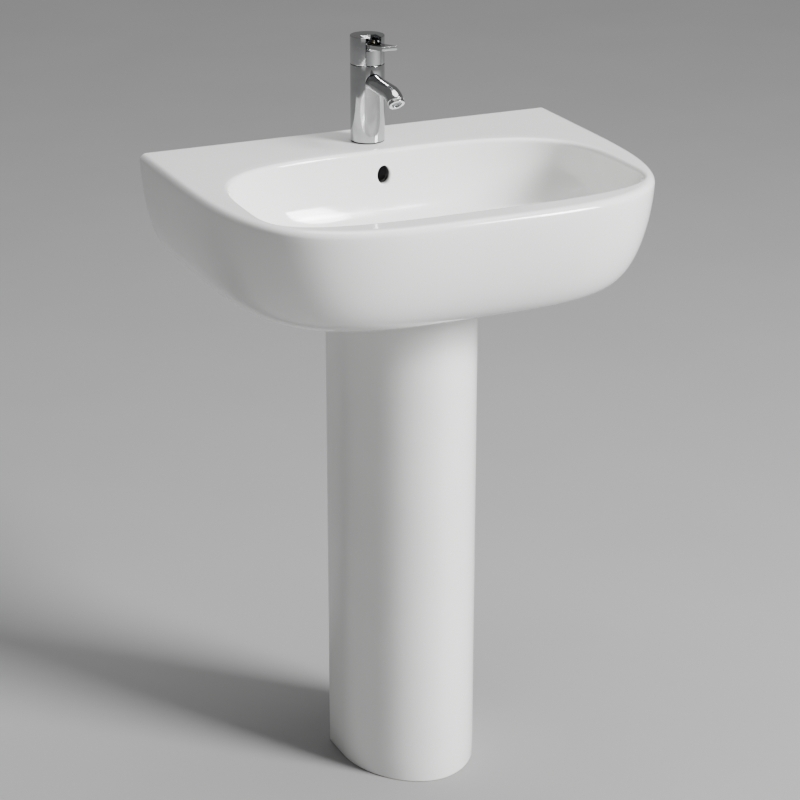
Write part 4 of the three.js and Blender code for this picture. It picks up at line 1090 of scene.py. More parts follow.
        # In to the boss, down it and back up the drain hole.
        boss_foot = self.floor - self.boss_depth
        boss_top = self.circle(self.boss_radius, outer[-1][0, 2] - self.boss_lap)
        rows += between(outer[-1], boss_top, 4)
        rows += [boss_top, self.circle(self.boss_radius, boss_foot), self.circle(hole, boss_foot)]
        return np.stack(rows)

    def service(self, outward: float) -> Array:
        """The service opening's outline, moved outwards."""
        return d_outline(
            self.service_half + outward, self.service_nose + outward, self.service_exponent,
            self.service_shoulder, self.service_rear + outward, self.straight)

    def overflow_cutter(self) -> Obj:
        """A horizontal oval bore through the bowl's back, flared where it opens.

        Returns:
            The closed cutter.
        """
        z = self.top - self.overflow_drop
        share = (self.overflow_drop - self.mouth_radius) / (self.mouth - self.floor)
        near = self.bowl(share)[:, 1].max()
        flare = quarter(5)[::-1] * self.soft_edge
        depths = np.concatenate([[near - self.overflow_lead], near + self.soft_edge - flare[:, 1],
                                 [near + self.wall + self.duct_depth]])
        extra = np.concatenate([[self.soft_edge], flare[:, 0], [0.0]])
        angle = np.linspace(0.0, TAU, 64, endpoint=False)
        x = (self.overflow_half[0] + extra[:, None]) * np.cos(angle)
        up = (self.overflow_half[1] + extra[:, None]) * np.sin(angle)
        y = np.broadcast_to(depths[:, None], x.shape)
        return grid_object("overflow_bore", np.stack([x, y, z + up], axis=-1), Ends.FLAT)

    def duct(self, name: str, first: float, offset: float, half_width: float,
             half_depth: float) -> Obj:
        """A flat channel that follows the bowl's back down to the drain hole.

        Args:
            name: the object's name.
            first: the share of the bowl's depth where it starts.
            offset: how far its middle lies outside the bowl's surface.
            half_width: its reach along X.
            half_depth: its reach across the bowl's wall.

        Returns:
            The closed channel.
        """
        rows = [self.bowl(share) for share in np.linspace(first, self.duct_foot, 26)]
        line = np.array([[row[:, 1].max(), row[0, 2]] for row in rows])
        along = unit(np.gradient(line, axis=0))
        line += offset * np.stack([-along[:, 1], along[:, 0]], axis=1)
        inside = [self.drain_y + 0.5 * self.drain_radius, line[-1, 1] - self.duct_lap]
        section = section_along(np.vstack([line, inside]), half_width, half_depth,
                                self.duct_exponent, 40)
        return grid_object(name, section, Ends.FLAT)

    def build(self) -> None:
        """Make the basin and cut its holes."""
        piece = grid_object("basin_china", self.shell(), Ends.JOINED, self.crease)
        middle = self.wall + self.duct_depth / 2.0
        shell_half = (self.duct_depth + self.duct_wall + self.duct_lap) / 2.0
        low, high = self.tap_bore
        onto = [self.duct("duct_shell", self.duct_top[0], self.wall - self.duct_lap + shell_half,
                          self.duct_half_width + self.duct_wall, shell_half)]
        away = [
            self.duct("duct_bore", self.duct_top[1], middle, self.duct_half_width,
                      self.duct_depth / 2.0),
            self.overflow_cutter(),
            rod("tap_bore", self.tap_hole, self.top + low, self.top + high,
                centre=(0.0, self.wall_y - self.tap_from_wall), sides=64),
        ]
        for side in (-1.0, 1.0):
            hole = Axis.BACK.at(side * self.stud_spacing / 2.0, self.wall_y - 2.0 * self.wall,
                                self.top - self.stud_drop)
            away.append(rod("stud_bore", self.stud_hole, 0.0, 3.0 * self.wall, hole))
        carve(piece, away, onto, self.crease)
        self.keep(piece, Slot.CHINA, "root", "basin")


@dataclass
class Pedestal(Assembly):
    """The column: a D-shaped china shell, open at the back between two lips."""

    nose_exponent: float = 1.9
    wall: float = 0.012
    lip: float = 0.020
    side_length: float = 0.053
    corner: float = 0.006
    soft_edge: float = 0.0016
    screw_height: float = 0.025
    screw_hole: float = 0.0028
    screw_x: float = 0.0727
    crease: float = 40.0

    def __post_init__(self) -> None:
        """Take the outer sizes from the CAD column's box."""
        self.box = Box.of("pedestal")
        self.half = self.box.size.x / 2.0
        self.rear = self.box.high.y
        self.shoulder = self.rear - self.side_length
        self.nose = self.shoulder - self.box.low.y

    def arc(self, inset: float) -> Array:
        """The rounded front, from the right shoulder to the left, drawn in by an inset."""
        angle = np.linspace(0.0, -math.pi, 90)
        radius = superellipse(angle, self.half - inset, self.nose - inset, self.nose_exponent)
        return np.stack([radius * np.cos(angle), self.shoulder + radius * np.sin(angle)], axis=1)

    def rear_corner(self, inset: float, radius: float) -> Array:
        """The left rear corner as a quarter circle, from the side to the back face."""
        x, y = -(self.half - inset), self.rear - inset
        return np.array([(x + a * radius, y - radius + b * radius) for a, b in quarter(5)])

    def section(self) -> Array:
        """The C-shaped plan section.

        Returns:
            One closed loop of points.
        """
        mouth = self.half - self.wall - self.lip
        left = self.rear_corner(0.0, self.corner)
        inner = self.rear_corner(self.wall, self.corner / 2.0)
        mirror = np.array([-1.0, 1.0])
        tip = np.array([[-mouth, self.rear], [-mouth, self.rear - self.wall]])
        outside = np.vstack([left[::-1] * mirror, self.arc(0.0), left])
        inside = np.vstack([inner[::-1], self.arc(self.wall)[::-1], inner * mirror])
        return np.vstack([outside, tip, inside, tip[::-1] * mirror])

    def build(self) -> None:
        """Raise the section, with its end edges eased, and drill the two screw holes."""
        loop = self.section()
        after = np.roll(loop, -1, axis=0)
        ahead, behind = unit(after - loop), unit(loop - np.roll(loop, 1, axis=0))
        inward = np.stack([ahead[:, 1] + behind[:, 1], -ahead[:, 0] - behind[:, 0]], axis=1)
        inward /= 1.0 + np.sum(ahead * behind, axis=1, keepdims=True)
        area = np.sum(loop[:, 0] * after[:, 1] - loop[:, 1] * after[:, 0])
        inward *= -1.0 if area > 0.0 else 1.0
        low, high = self.box.low.z + self.soft_edge, self.box.high.z - self.soft_edge
        ease = quarter(4) * self.soft_edge
        foot = [at_height(loop + inward * a, low - b) for a, b in ease[::-1]]
        head = [at_height(loop + inward * a, high + b) for a, b in ease]
        rows = foot + between(foot[-1], head[0], 24) + head
        piece = grid_object("pedestal_china", np.stack(rows), Ends.FLAT, self.crease)
        holes = [rod("screw_bore", self.screw_hole, 0.0, 3.0 * self.wall,
                     Axis.BACK.at(side * self.screw_x, self.rear - 2.0 * self.wall,
                                  self.screw_height), sides=24)
                 for side in (-1.0, 1.0)]
        carve(piece, holes, crease=self.crease)
        self.keep(piece, Slot.CHINA, "root", "pedestal")


# ------------------------------------------------------------------------------- hardware


def hexagonal(across: float, limit: float) -> Shape:
    """A shape that turns the outside of a profile into a hexagon.

    Args:
        across: the width across flats.
        limit: only radii above this are outside.

    Returns:
        The function: the lesser of the radius and apothem / cos(angle from the nearest flat).
    """

    def shape(radius: Array, height: Array, angle: Array) -> Array:
        """Apply the hexagon to the outer radii."""
        sixth = math.pi / 3.0
        flat = across / 2.0 / np.cos(np.mod(angle, sixth) - sixth / 2.0)
        return np.where(radius > limit, np.minimum(radius, flat), radius)

    return shape


def fluted(count: int, depth: float, limit: float) -> Shape:
    """A shape that cuts rounded grips into the outside of a profile.

    Args:
        count: how many flutes.
        depth: how deep they are.
        limit: only radii above this are outside.

    Returns:
        The function: radius less depth * ((1 - cos(count * angle)) / 2)^2.
    """

    def shape(radius: Array, height: Array, angle: Array) -> Array:
        """Apply the flutes to the outer radii."""
        dip = depth * ((1.0 - np.cos(count * angle)) / 2.0) ** 2
        return np.where(radius > limit, radius - dip, radius)

    return shape


def threaded(pitch: float, depth: float, start: float, end: float) -> Shape:
    """A shape that winds a thread round a rod.

    Args:
        pitch: the rise of one turn.
        depth: how deep the groove is.
        start: the height where the thread starts.
        end: the height where it ends.

    Returns:
        The function: radius less depth * |2 * part - 1|, where part is the fractional part of
        height / pitch - angle / 360 degrees, fading out at both ends.
    """

    def shape(radius: Array, height: Array, angle: Array) -> Array:
        """Apply the thread between its two heights."""
        part = np.mod(height / pitch - angle / TAU, 1.0)
        fade = np.clip(np.minimum(height - start, end - height) / pitch, 0.0, 1.0)
        return radius - depth * np.abs(2.0 * part - 1.0) * fade

    return shape


def upright(radius: float, start: float, end: float, step: float) -> Array:
    """Profile points of one radius at even heights from a start to before an end."""
    heights = np.arange(start, end, step)
    return np.column_stack([np.full(len(heights), radius), heights])


@dataclass
class Hardware(Assembly):
    """Studs, screws, nuts, washers and seals, each fitted to its CAD node's box."""

    bevel: float = 0.0004
    rows_per_turn: float = 6.0
    stud_tip: float = 0.8
    stud_groove: float = 0.45
    screw_tip: float = 0.7
    screw_groove: float = 0.4
    screw_shank: float = 0.0025
    screw_head: float = 0.003
    screw_pitch: float = 0.0008
    crown_flat: float = 0.62
    crown_side: float = 0.25
    recess_reach: float = 0.55
    recess_slim: float = 0.12
    recess_depth: float = 0.6
    nut_chamfer: float = 0.6
    stud_bore: float = 0.0053
    bracket_strip: float = 0.003
    bracket_hole: float = 0.0028
    bracket_height: float = 0.025
    sleeve_flange: float = 0.003
    sleeve_tube: float = 0.0069

    def ring(self, node: str, axis: Axis, inner: float, slot: Slot, body: str = "root") -> None:
        """Make a flat ring with eased edges.

        Args:
            node: the CAD node that it stands for.
            axis: its direction.
            inner: its inner radius.
            slot: its material slot.
            body: the body that it rides on.
        """
        seat = Seat.of(node, axis)
        corners = [(inner, 0.0), (seat.radius, 0.0), (seat.radius, seat.length),
                   (inner, seat.length)]
        soft = min(self.bevel, seat.length / 4.0)
        self.keep(lathe(f"{node}_ring", corners, soft, 3, sides=96, place=seat.place),
                  slot, body, node)

    def nut(self, node: str, axis: Axis, bore: float, slot: Slot) -> None:
        """Make a hexagon nut with turned corners and a threaded bore mouth.

        Args:
            node: the CAD node that it stands for.
            axis: its direction.
            bore: its bore radius.
            slot: its material slot.
        """
        seat = Seat.of(node, axis)
        chamfer = (seat.radius - seat.across / 2.0) * self.nut_chamfer
        face = seat.across / 2.0 - self.bevel
        half = [(bore, chamfer), (bore + chamfer, 0.0), (face, 0.0), (seat.radius, chamfer)]
        profile = np.array(half + [(r, seat.length - z) for r, z in half[::-1]])
        self.keep(turned(f"{node}_hexagon", profile, sides=96, place=seat.place, crease=25.0,
                         shape=hexagonal(seat.across, face - self.bevel)), slot, "root", node)

    def stud(self, node: str, axis: Axis, pitch: float, slot: Slot) -> None:
        """Make a threaded rod.

        Args:
            node: the CAD node that it stands for.
            axis: its direction.
            pitch: the thread's pitch.
            slot: its material slot.
        """
        seat = Seat.of(node, axis)
        line = upright(seat.radius, 0.0, seat.length, pitch / self.rows_per_turn)
        line[0, 1] = pitch / 2.0
        kept = (line[:, 1] >= pitch / 2.0) & (line[:, 1] <= seat.length - pitch / 2.0)
        tip = self.stud_tip * seat.radius
        profile = np.vstack([[tip, 0.0], line[kept], [tip, seat.length]])
        thread = threaded(pitch, pitch * self.stud_groove, 0.0, seat.length)
        self.keep(turned(f"{node}_thread", profile, sides=28, ends=Ends.FAN, place=seat.place,
                         shape=thread, crease=50.0), slot, "root", node)

    def screw(self, node: str, axis: Axis) -> None:
        """Make a pan-head screw with a cross recess; its head is at the far end.

        Args:
            node: the CAD node that it stands for.
            axis: from its tip to its head.
        """
        seat = Seat.of(node, axis)
        shank, head, pitch = self.screw_shank, self.screw_head, self.screw_pitch
        neck, flat = seat.length - head, self.crown_flat
        body = upright(shank, pitch / 2.0, neck - pitch / 2.0, pitch / self.rows_per_turn)
        turn = np.linspace(0.0, math.pi / 2.0, 8)
        crown = np.stack([
            flat * seat.radius + (1.0 - flat) * seat.radius * np.cos(turn),
            neck + self.crown_side * head + (1.0 - self.crown_side) * head * np.sin(turn)], axis=1)
        profile = np.vstack([[(shank * self.screw_tip, 0.0)], body,
                             [(shank, neck), (seat.radius, neck)], crown])
        thread = threaded(pitch, pitch * self.screw_groove, 0.0, neck - pitch)
        piece = turned(f"{node}_pan_head", profile, sides=48, ends=Ends.FAN, place=seat.place,
                       shape=thread, crease=45.0)
        wide, slim = self.recess_reach * seat.radius, self.recess_slim * seat.radius
        cross = [slab("recess", (-x, -y, seat.length - self.recess_depth * head),
                      (x, y, seat.length + head)) for x, y in ((wide, slim), (slim, wide))]
        for cutter in cross:
            cutter.data.transform(seat.place)
        carve(piece, cross, crease=45.0)
        self.keep(piece, Slot.STEEL, "root", node)

    def bracket(self, node: str) -> None:
        """Make a bent angle bracket with its two holes, to stand for a CAD node."""
        box, strip, hole = Box.of(node), self.bracket_strip, self.bracket_hole
        y0, y1, z0, z1 = box.low.y, box.high.y, box.low.z, box.high.z
        outline = [(y0, z0), (y1, z0), (y1, z1), (y1 - strip, z1), (y1 - strip, z0 + strip),
                   (y0, z0 + strip)]
        piece = drawn_across(f"{node}_angle", softened(outline, strip * 0.5, 5, closed=True),
                             box.low.x, box.high.x)
        x, middle = box.middle.x, (y0 + y1 - strip) / 2.0
        carve(piece, [
            rod("foot_hole", hole, z0 - strip, z0 + 2.0 * strip, centre=(x, middle)),
            rod("leg_hole", hole, 0.0, 3.0 * strip,
                Axis.BACK.at(x, y1 - 2.0 * strip, self.bracket_height)),
        ], crease=30.0)
        bevelled(piece, self.bevel)
        self.keep(piece, Slot.STEEL, "root", node)

    def sleeve(self, node: str) -> None:
        """Make a flanged nylon sleeve for a wall stud, to stand for a CAD node."""
        seat = Seat.of(node, Axis.BACK)
        bore, tube, flange = self.stud_bore, self.sleeve_tube, self.sleeve_flange
        corners = [(bore, 0.0), (seat.radius, 0.0), (seat.radius, flange), (tube, flange),
                   (tube, seat.length), (bore, seat.length)]
        self.keep(lathe(f"{node}_bush", corners, self.bevel * 1.5, 3, sides=72, place=seat.place),
                  Slot.WHITE_PLASTIC, "root", node)

    def build(self) -> None:
        """Make every fastener and seal."""
        for side in ("left", "right"):
            self.stud(f"wall_stud_{side}", Axis.BACK, 0.0015, Slot.STEEL)
            self.sleeve(f"wall_sleeve_{side}")
            self.ring(f"wall_washer_{side}", Axis.BACK, self.stud_bore, Slot.STEEL)
            self.nut(f"wall_nut_{side}", Axis.BACK, self.stud_bore, Slot.STEEL)
            self.bracket(f"pedestal_bracket_{side}")
            self.screw(f"floor_screw_{side}", Axis.UP)
            self.screw(f"pedestal_screw_{side}", Axis.BACK)
            self.nut(f"pedestal_nut_{side}", Axis.BACK, self.bracket_hole, Slot.STEEL)
        self.stud("tap_stud", Axis.UP, 0.00125, Slot.BRASS)
        self.nut("tap_nut", Axis.UP, 0.0043, Slot.BRASS)
        for node, axis, inner, slot, body in (
                ("tap_base_seal", Axis.UP, 0.019, Slot.RUBBER, "root"),
                ("waste_upper_seal", Axis.UP, 0.024, Slot.RUBBER, "root"),
                ("waste_lower_seal", Axis.UP, 0.0216, Slot.RUBBER, "root"),
                ("trap_inlet_washer", Axis.UP, 0.014, Slot.RUBBER, "root"),
                ("trap_cup_seal", Axis.UP, 0.032, Slot.RUBBER, "root"),
                ("trap_outlet_washer", Axis.BACK, 0.0163, Slot.RUBBER, "root"),
                ("plug_seal", Axis.UP, 0.0217, Slot.RUBBER, "plug"),
                ("hot_inlet", Axis.UP, 0.003, Slot.BRASS, "root"),
                ("cold_inlet", Axis.UP, 0.003, Slot.BRASS, "root"),
                ("cartridge_nut", Axis.UP, 0.0087, Slot.BRASS, "root")):
            self.ring(node, axis, inner, slot, body)


# ------------------------------------------------------------------------------- tap


@dataclass
class Tap(Assembly):
    """The mixer: a round column, a bent spout, and a turning drum that holds the lever."""

    base: float = 0.002
    base_step: float = 0.003
    body_height: float = 0.105
    height: float = 0.143
    neck_radius: float = 0.0185
    neck_top: float = 0.120
    groove_height: float = 0.114
    groove_half: float = 0.0018
    groove_depth: float = 0.0014
    cartridge_bore: float = 0.0143
    cartridge_floor: float = 0.092
    stud_bore: Pair = (0.0043, 0.016)
    stud_forward: float = 0.0095
    inlet_bore: Pair = (0.0053, 0.014)
    inlet_place: Pair = (0.008, 0.005)
    gap: float = 0.0003
    soft: float = 0.0006
    crease: float = 30.0
    spout_height: float = 0.084
    spout_radius: float = 0.011
    spout_bore: float = 0.0078
    spout_start: float = 0.014
    spout_straight: float = 0.074
    spout_slope: float = 2.0
    spout_bend: float = 45.0
    bend_length: float = 0.0198
    spout_sides: int = 72
    aerator_lip: float = 0.005
    aerator_shelf: float = 0.003
    aerator_root: float = -0.004
    mesh_top: float = 0.0026
    mesh_foot: float = -0.003
    mesh_middle: float = 0.002
    jet_radius: float = 0.0009
    jet_circle: float = 0.0036
    drum_inner: float = 0.020
    drum_top: float = 0.005
    drum_middle: float = 0.012
    drum_soft: float = 0.001
    drum_bevel: float = 0.00025
    grub_hole: float = 0.0023
    grub_depth: float = 0.018
    grub_socket: float = 0.0008
    socket_depth: float = 0.0012
    lever_half: float = 0.0105
    lever_thickness: float = 0.0055
    lever_reach: float = 0.072
    lever_rise: float = 8.0
    lever_bevel: float = 0.0004
    pin_forward: float = 0.008
    pin_height: float = 0.1285
    pin_radius: float = 0.002
    pin_inset: float = 0.0012
    hub_radius: float = 0.0045
    hub_inset: float = 0.00005
    tail_half: float = 0.0015
    tail_root: float = 0.00225
    tail_back: Pair = (0.001, 0.002)
    tail_drop: float = 0.003
    far: float = 0.2

    def __post_init__(self) -> None:
        """Take the column's axis and radius and the deck's height from the CAD boxes."""
        drum = Box.of("handle_drum")
        self.radius = drum.size.x / 2.0
        self.axis_y = drum.high.y - self.radius
        self.deck = Box.of("basin").high.z
        self.slope, self.bend = math.radians(self.spout_slope), math.radians(self.spout_bend)
        self.straight = (self.spout_straight - self.spout_start) / math.cos(self.slope)

    def lathed(self, name: str, corners: Sequence[Nums], soft: float) -> Obj:
        """A profile given from the deck's height, turned about the tap's axis."""
        profile = softened(corners, soft) + (0.0, self.deck)
        return turned(name, profile, (0.0, self.axis_y), 144, Ends.FAN, crease=self.crease)

    def up(self, name: str, radius: float, low: float, high: float, x: float = 0.0,
           y: float = 0.0) -> Obj:
        """An upright cutter about the tap's axis, shifted by x and y."""
        return rod(name, radius, self.deck + low, self.deck + high, centre=(x, self.axis_y + y),
                   sides=72)

    def across(self, name: str, radius: float, half: float) -> Obj:
        """A cutter along X through the lever's pin."""
        place = Axis.ACROSS.at(-half, self.axis_y - self.pin_forward, self.deck + self.pin_height)
        return rod(name, radius, 0.0, 2.0 * half, place, sides=40)

    def block(self, name: str, x: Pair, y: Pair, z: Pair) -> Obj:
        """A rectangular cutter whose y and z are measured from the tap's axis and the deck."""
        return slab(name, (x[0], self.axis_y + y[0], self.deck + z[0]),
                    (x[1], self.axis_y + y[1], self.deck + z[1]))

    def column(self) -> None:
        """Turn the column and its neck, and bore them."""
        r, neck, groove = self.radius, self.neck_radius, self.groove_height
        inner = neck - self.groove_depth
        low, high = groove - self.groove_half, groove + self.groove_half
        piece = self.lathed("tap_column", [
            (r - self.base_step, self.base), (r, self.base), (r, self.body_height),
            (neck, self.body_height), (neck, low), (inner, low), (inner, high), (neck, high),
            (neck, self.neck_top), (self.cartridge_bore, self.neck_top),
            (self.cartridge_bore, self.cartridge_floor)], self.soft)
        place = Axis.FRONT.at(0.0, self.axis_y - self.spout_start + self.gap,
                              self.deck + self.spout_height)
        x, y = self.inlet_place
        carve(piece, [
            rod("spout_socket", self.spout_radius + self.gap, 0.0, 0.05, place, sides=72),
            self.up("stud_bore", self.stud_bore[0], -self.base, self.stud_bore[1], 0.0,
                    -self.stud_forward),
            self.up("hot_bore", self.inlet_bore[0], -self.base, self.inlet_bore[1], -x, y),
            self.up("cold_bore", self.inlet_bore[0], -self.base, self.inlet_bore[1], x, y),
        ], crease=self.crease)
        self.keep(piece, Slot.CHROME, "root", "tap_body")

    def spout_line(self, lengths: Array) -> Array:
        """The spout's centre line at given lengths along it, as y and z.

        It runs straight at its slope and then bends evenly: past the straight part the angle
        grows in proportion to the length, and the place is the running sum of its directions.

        Args:
            lengths: lengths from the start, rising.

        Returns:
            The points.
        """
        fine = np.linspace(0.0, self.straight + self.bend_length, 600)
        share = np.clip((fine - self.straight) / self.bend_length, 0.0, 1.0)
        angle = (self.slope + (self.bend - self.slope) * share)[:-1]
        drop = self.spout_start * math.tan(self.slope)
        forward = self.spout_start + np.append(0.0, np.cumsum(np.cos(angle)) * fine[1])
        drop = drop + np.append(0.0, np.cumsum(np.sin(angle)) * fine[1])
        y = self.axis_y - np.interp(lengths, fine, forward)
        z = self.deck + self.spout_height - np.interp(lengths, fine, drop)
        return np.stack([y, z], axis=1)

    def spout(self) -> Matrix:
        """Make the spout as a bent tube with an eased lip.

        Returns:
            The placement of work that goes on its end.
        """
        total = self.straight + self.bend_length
        ease = quarter(4)[1:] * self.soft
        lengths = np.concatenate([
            np.linspace(0.0, self.straight, 8),
            np.linspace(self.straight, total - self.soft, 22)[1:],
            total - self.soft + ease[:, 1]])
        radii = np.full(len(lengths), self.spout_radius)
        radii[-len(ease):] -= ease[:, 0]
        line = self.spout_line(lengths)
        outer = section_along(line, radii, radii, 2.0, self.spout_sides)
        inner = section_along(line, self.spout_bore, self.spout_bore, 2.0, self.spout_sides)
        piece = grid_object("tap_spout_tube", np.concatenate([outer, inner[::-1]]), Ends.JOINED,
                            40.0)
        self.keep(piece, Slot.CHROME, "root", "tap_spout")
        return lying((0.0, -math.cos(self.bend), -math.sin(self.bend)), (0.0, *line[-1]))

    def aerator(self, place: Matrix) -> None:
        """Screw the aerator into the spout's end.

        Args:
            place: the placement of work on that end.
        """
        spigot = self.spout_bore - 3.0 * self.gap
        inner, ring = spigot - self.gap, self.spout_radius - 0.0005
        root, lip, shelf = self.aerator_root, self.aerator_lip, self.aerator_shelf
        corners = [(inner - self.soft, root), (spigot, root), (spigot, self.gap),
                   (ring, self.gap), (ring, lip), (inner, lip), (inner, shelf),
                   (inner - self.soft, shelf)]
        piece = lathe("aerator_ring", corners, self.soft, sides=144, place=place,
                      shape=fluted(36, 0.0003, ring - 0.0001), crease=self.crease)
        self.keep(piece, Slot.CHROME, "root", "aerator_housing")
        mesh_radius, hub = inner - self.soft - self.gap, self.mesh_middle
        top, foot = self.mesh_top, self.mesh_foot
        face = lathe("aerator_mesh", [(hub, foot), (mesh_radius, foot), (mesh_radius, top),
                                      (hub, top)], 0.0003, 3, ends=Ends.FAN, place=place)
        spots = [(0.0, 0.0)] + [(self.jet_circle * math.cos(a), self.jet_circle * math.sin(a))
                                for a in np.arange(6) * math.pi / 3.0]
        carve(face, [rod("jet", self.jet_radius, foot - hub, top + hub, place, spot, 20)
                     for spot in spots])
        self.keep(face, Slot.GREY_PLASTIC, "root", "aerator_insert")

    def drum(self) -> None:
        """Turn the drum, and cut its slot, its pin bore and its grub screw hole."""
        r, inner, middle = self.radius, self.drum_inner, self.drum_middle
        low, roof = self.body_height + 2.0 * self.gap, self.height - self.drum_top
        piece = self.lathed("tap_drum", [
            (middle, roof), (inner, roof), (inner, low), (r, low), (r, self.height),
            (middle, self.height)], self.drum_soft)
        half = self.lever_half + 2.0 * self.gap
        back = self.pin_forward - self.hub_radius - 0.001
        pin = math.sqrt(r ** 2 - self.pin_forward ** 2) - self.pin_inset + self.gap
        grub = Axis.BACK.at(0.0, self.axis_y + self.grub_depth, self.deck + self.groove_height)
        carve(piece, [
            self.block("lever_slot", (-half, half), (-0.03, -back), (low - 0.002, 0.15)),
            self.across("pin_bore", self.pin_radius + self.gap, pin),
            rod("grub_hole", self.grub_hole, 0.0, 0.008, grub, sides=32),
        ], crease=self.crease)
        bevelled(piece, self.drum_bevel)
        self.keep(piece, Slot.CHROME, "swivel", "handle_drum")
        seat = Seat.of("drum_grub_screw", Axis.BACK)
        corners = [(0.0004, 0.0), (seat.radius, 0.0), (seat.radius, seat.length),
                   (self.grub_socket, seat.length),
                   (self.grub_socket, seat.length - self.socket_depth)]
        self.keep(lathe("grub_screw_socket", corners, 0.0002, 3, sides=24, ends=Ends.FAN,
                        place=seat.place), Slot.STEEL, "swivel", "drum_grub_screw")
        seat = Seat.of("lever_pin", Axis.ACROSS)
        corners = [(0.0005, 0.0), (seat.radius, 0.0), (seat.radius, seat.length),
                   (0.0005, seat.length)]
        self.keep(lathe("lever_pin_rod", corners, 0.0004, 3, sides=32, ends=Ends.FAN,
                        place=seat.place), Slot.STEEL, "swivel", "lever_pin")

    def lever_top(self, forward: float) -> float:
        """The height of the lever's top face at a distance in front of the axis."""
        rise = math.tan(math.radians(self.lever_rise))
        return self.pin_height + self.hub_radius + (forward - self.pin_forward) * rise

    def side_shape(self, name: str, corners: Sequence[Nums], half: float, soft: float) -> Obj:
        """A softened outline, given as distance forward and height, carried across the tap."""
        loop = softened(corners, soft, 5, closed=True) * (-1.0, 1.0) + (self.axis_y, self.deck)
        return drawn_across(name, loop, -half, half)

    def lever(self) -> None:
        """Make the lever: tongue, curved front plate, hub and tail in one piece."""
        top, thick, reach, pin = (self.lever_top, self.lever_thickness, self.lever_reach,
                                  self.pin_forward)
        r, tail_low = self.radius, self.pin_height - self.hub_radius
        base, side, far = tail_low + 0.001, self.lever_half, self.far
        tongue = self.side_shape("tap_lever_bar", [
            (pin, base), (pin, top(pin)), (reach, top(reach)), (reach, top(reach) - thick),
            (r + 0.003, top(r + 0.003) - thick), (r - 0.001, base)], side, 0.0009)
        low = self.body_height + 4.0 * self.gap
        plate = self.up("front_plate", r - 0.0002, low, self.pin_height)
        wide = 2.0 * r
        carve(plate, [
            self.up("neck_room", self.neck_radius + 2.0 * self.gap, -0.01, self.neck_top + 0.0006),
            self.block("behind", (-wide, wide), (-pin - 0.002, wide), (0.0, far)),
            self.block("left_of", (-wide, -side), (-wide, wide), (0.0, far)),
            self.block("right_of", (side, wide), (-wide, wide), (0.0, far)),
        ])
        near, back = self.tail_back
        tail = self.side_shape("tail", [
            (pin, self.pin_height - self.tail_root), (pin, self.pin_height), (near, tail_low),
            (-near, tail_low - self.tail_drop), (back, tail_low - self.tail_drop)],
            self.tail_half, 0.0003)
        hub = self.across("hub", self.hub_radius, side - self.hub_inset)
        carve(tongue, [self.across("pin_room", self.pin_radius + self.gap, wide)],
              [plate, hub, tail], self.crease)
        bevelled(tongue, self.lever_bevel)
        self.keep(tongue, Slot.CHROME, "lever", "tap_lever")

    def build(self) -> None:
        """Make the whole tap."""
        self.column()
        self.aerator(self.spout())
        self.drum()
        self.lever()


# ------------------------------------------------------------------------------- waste and trap


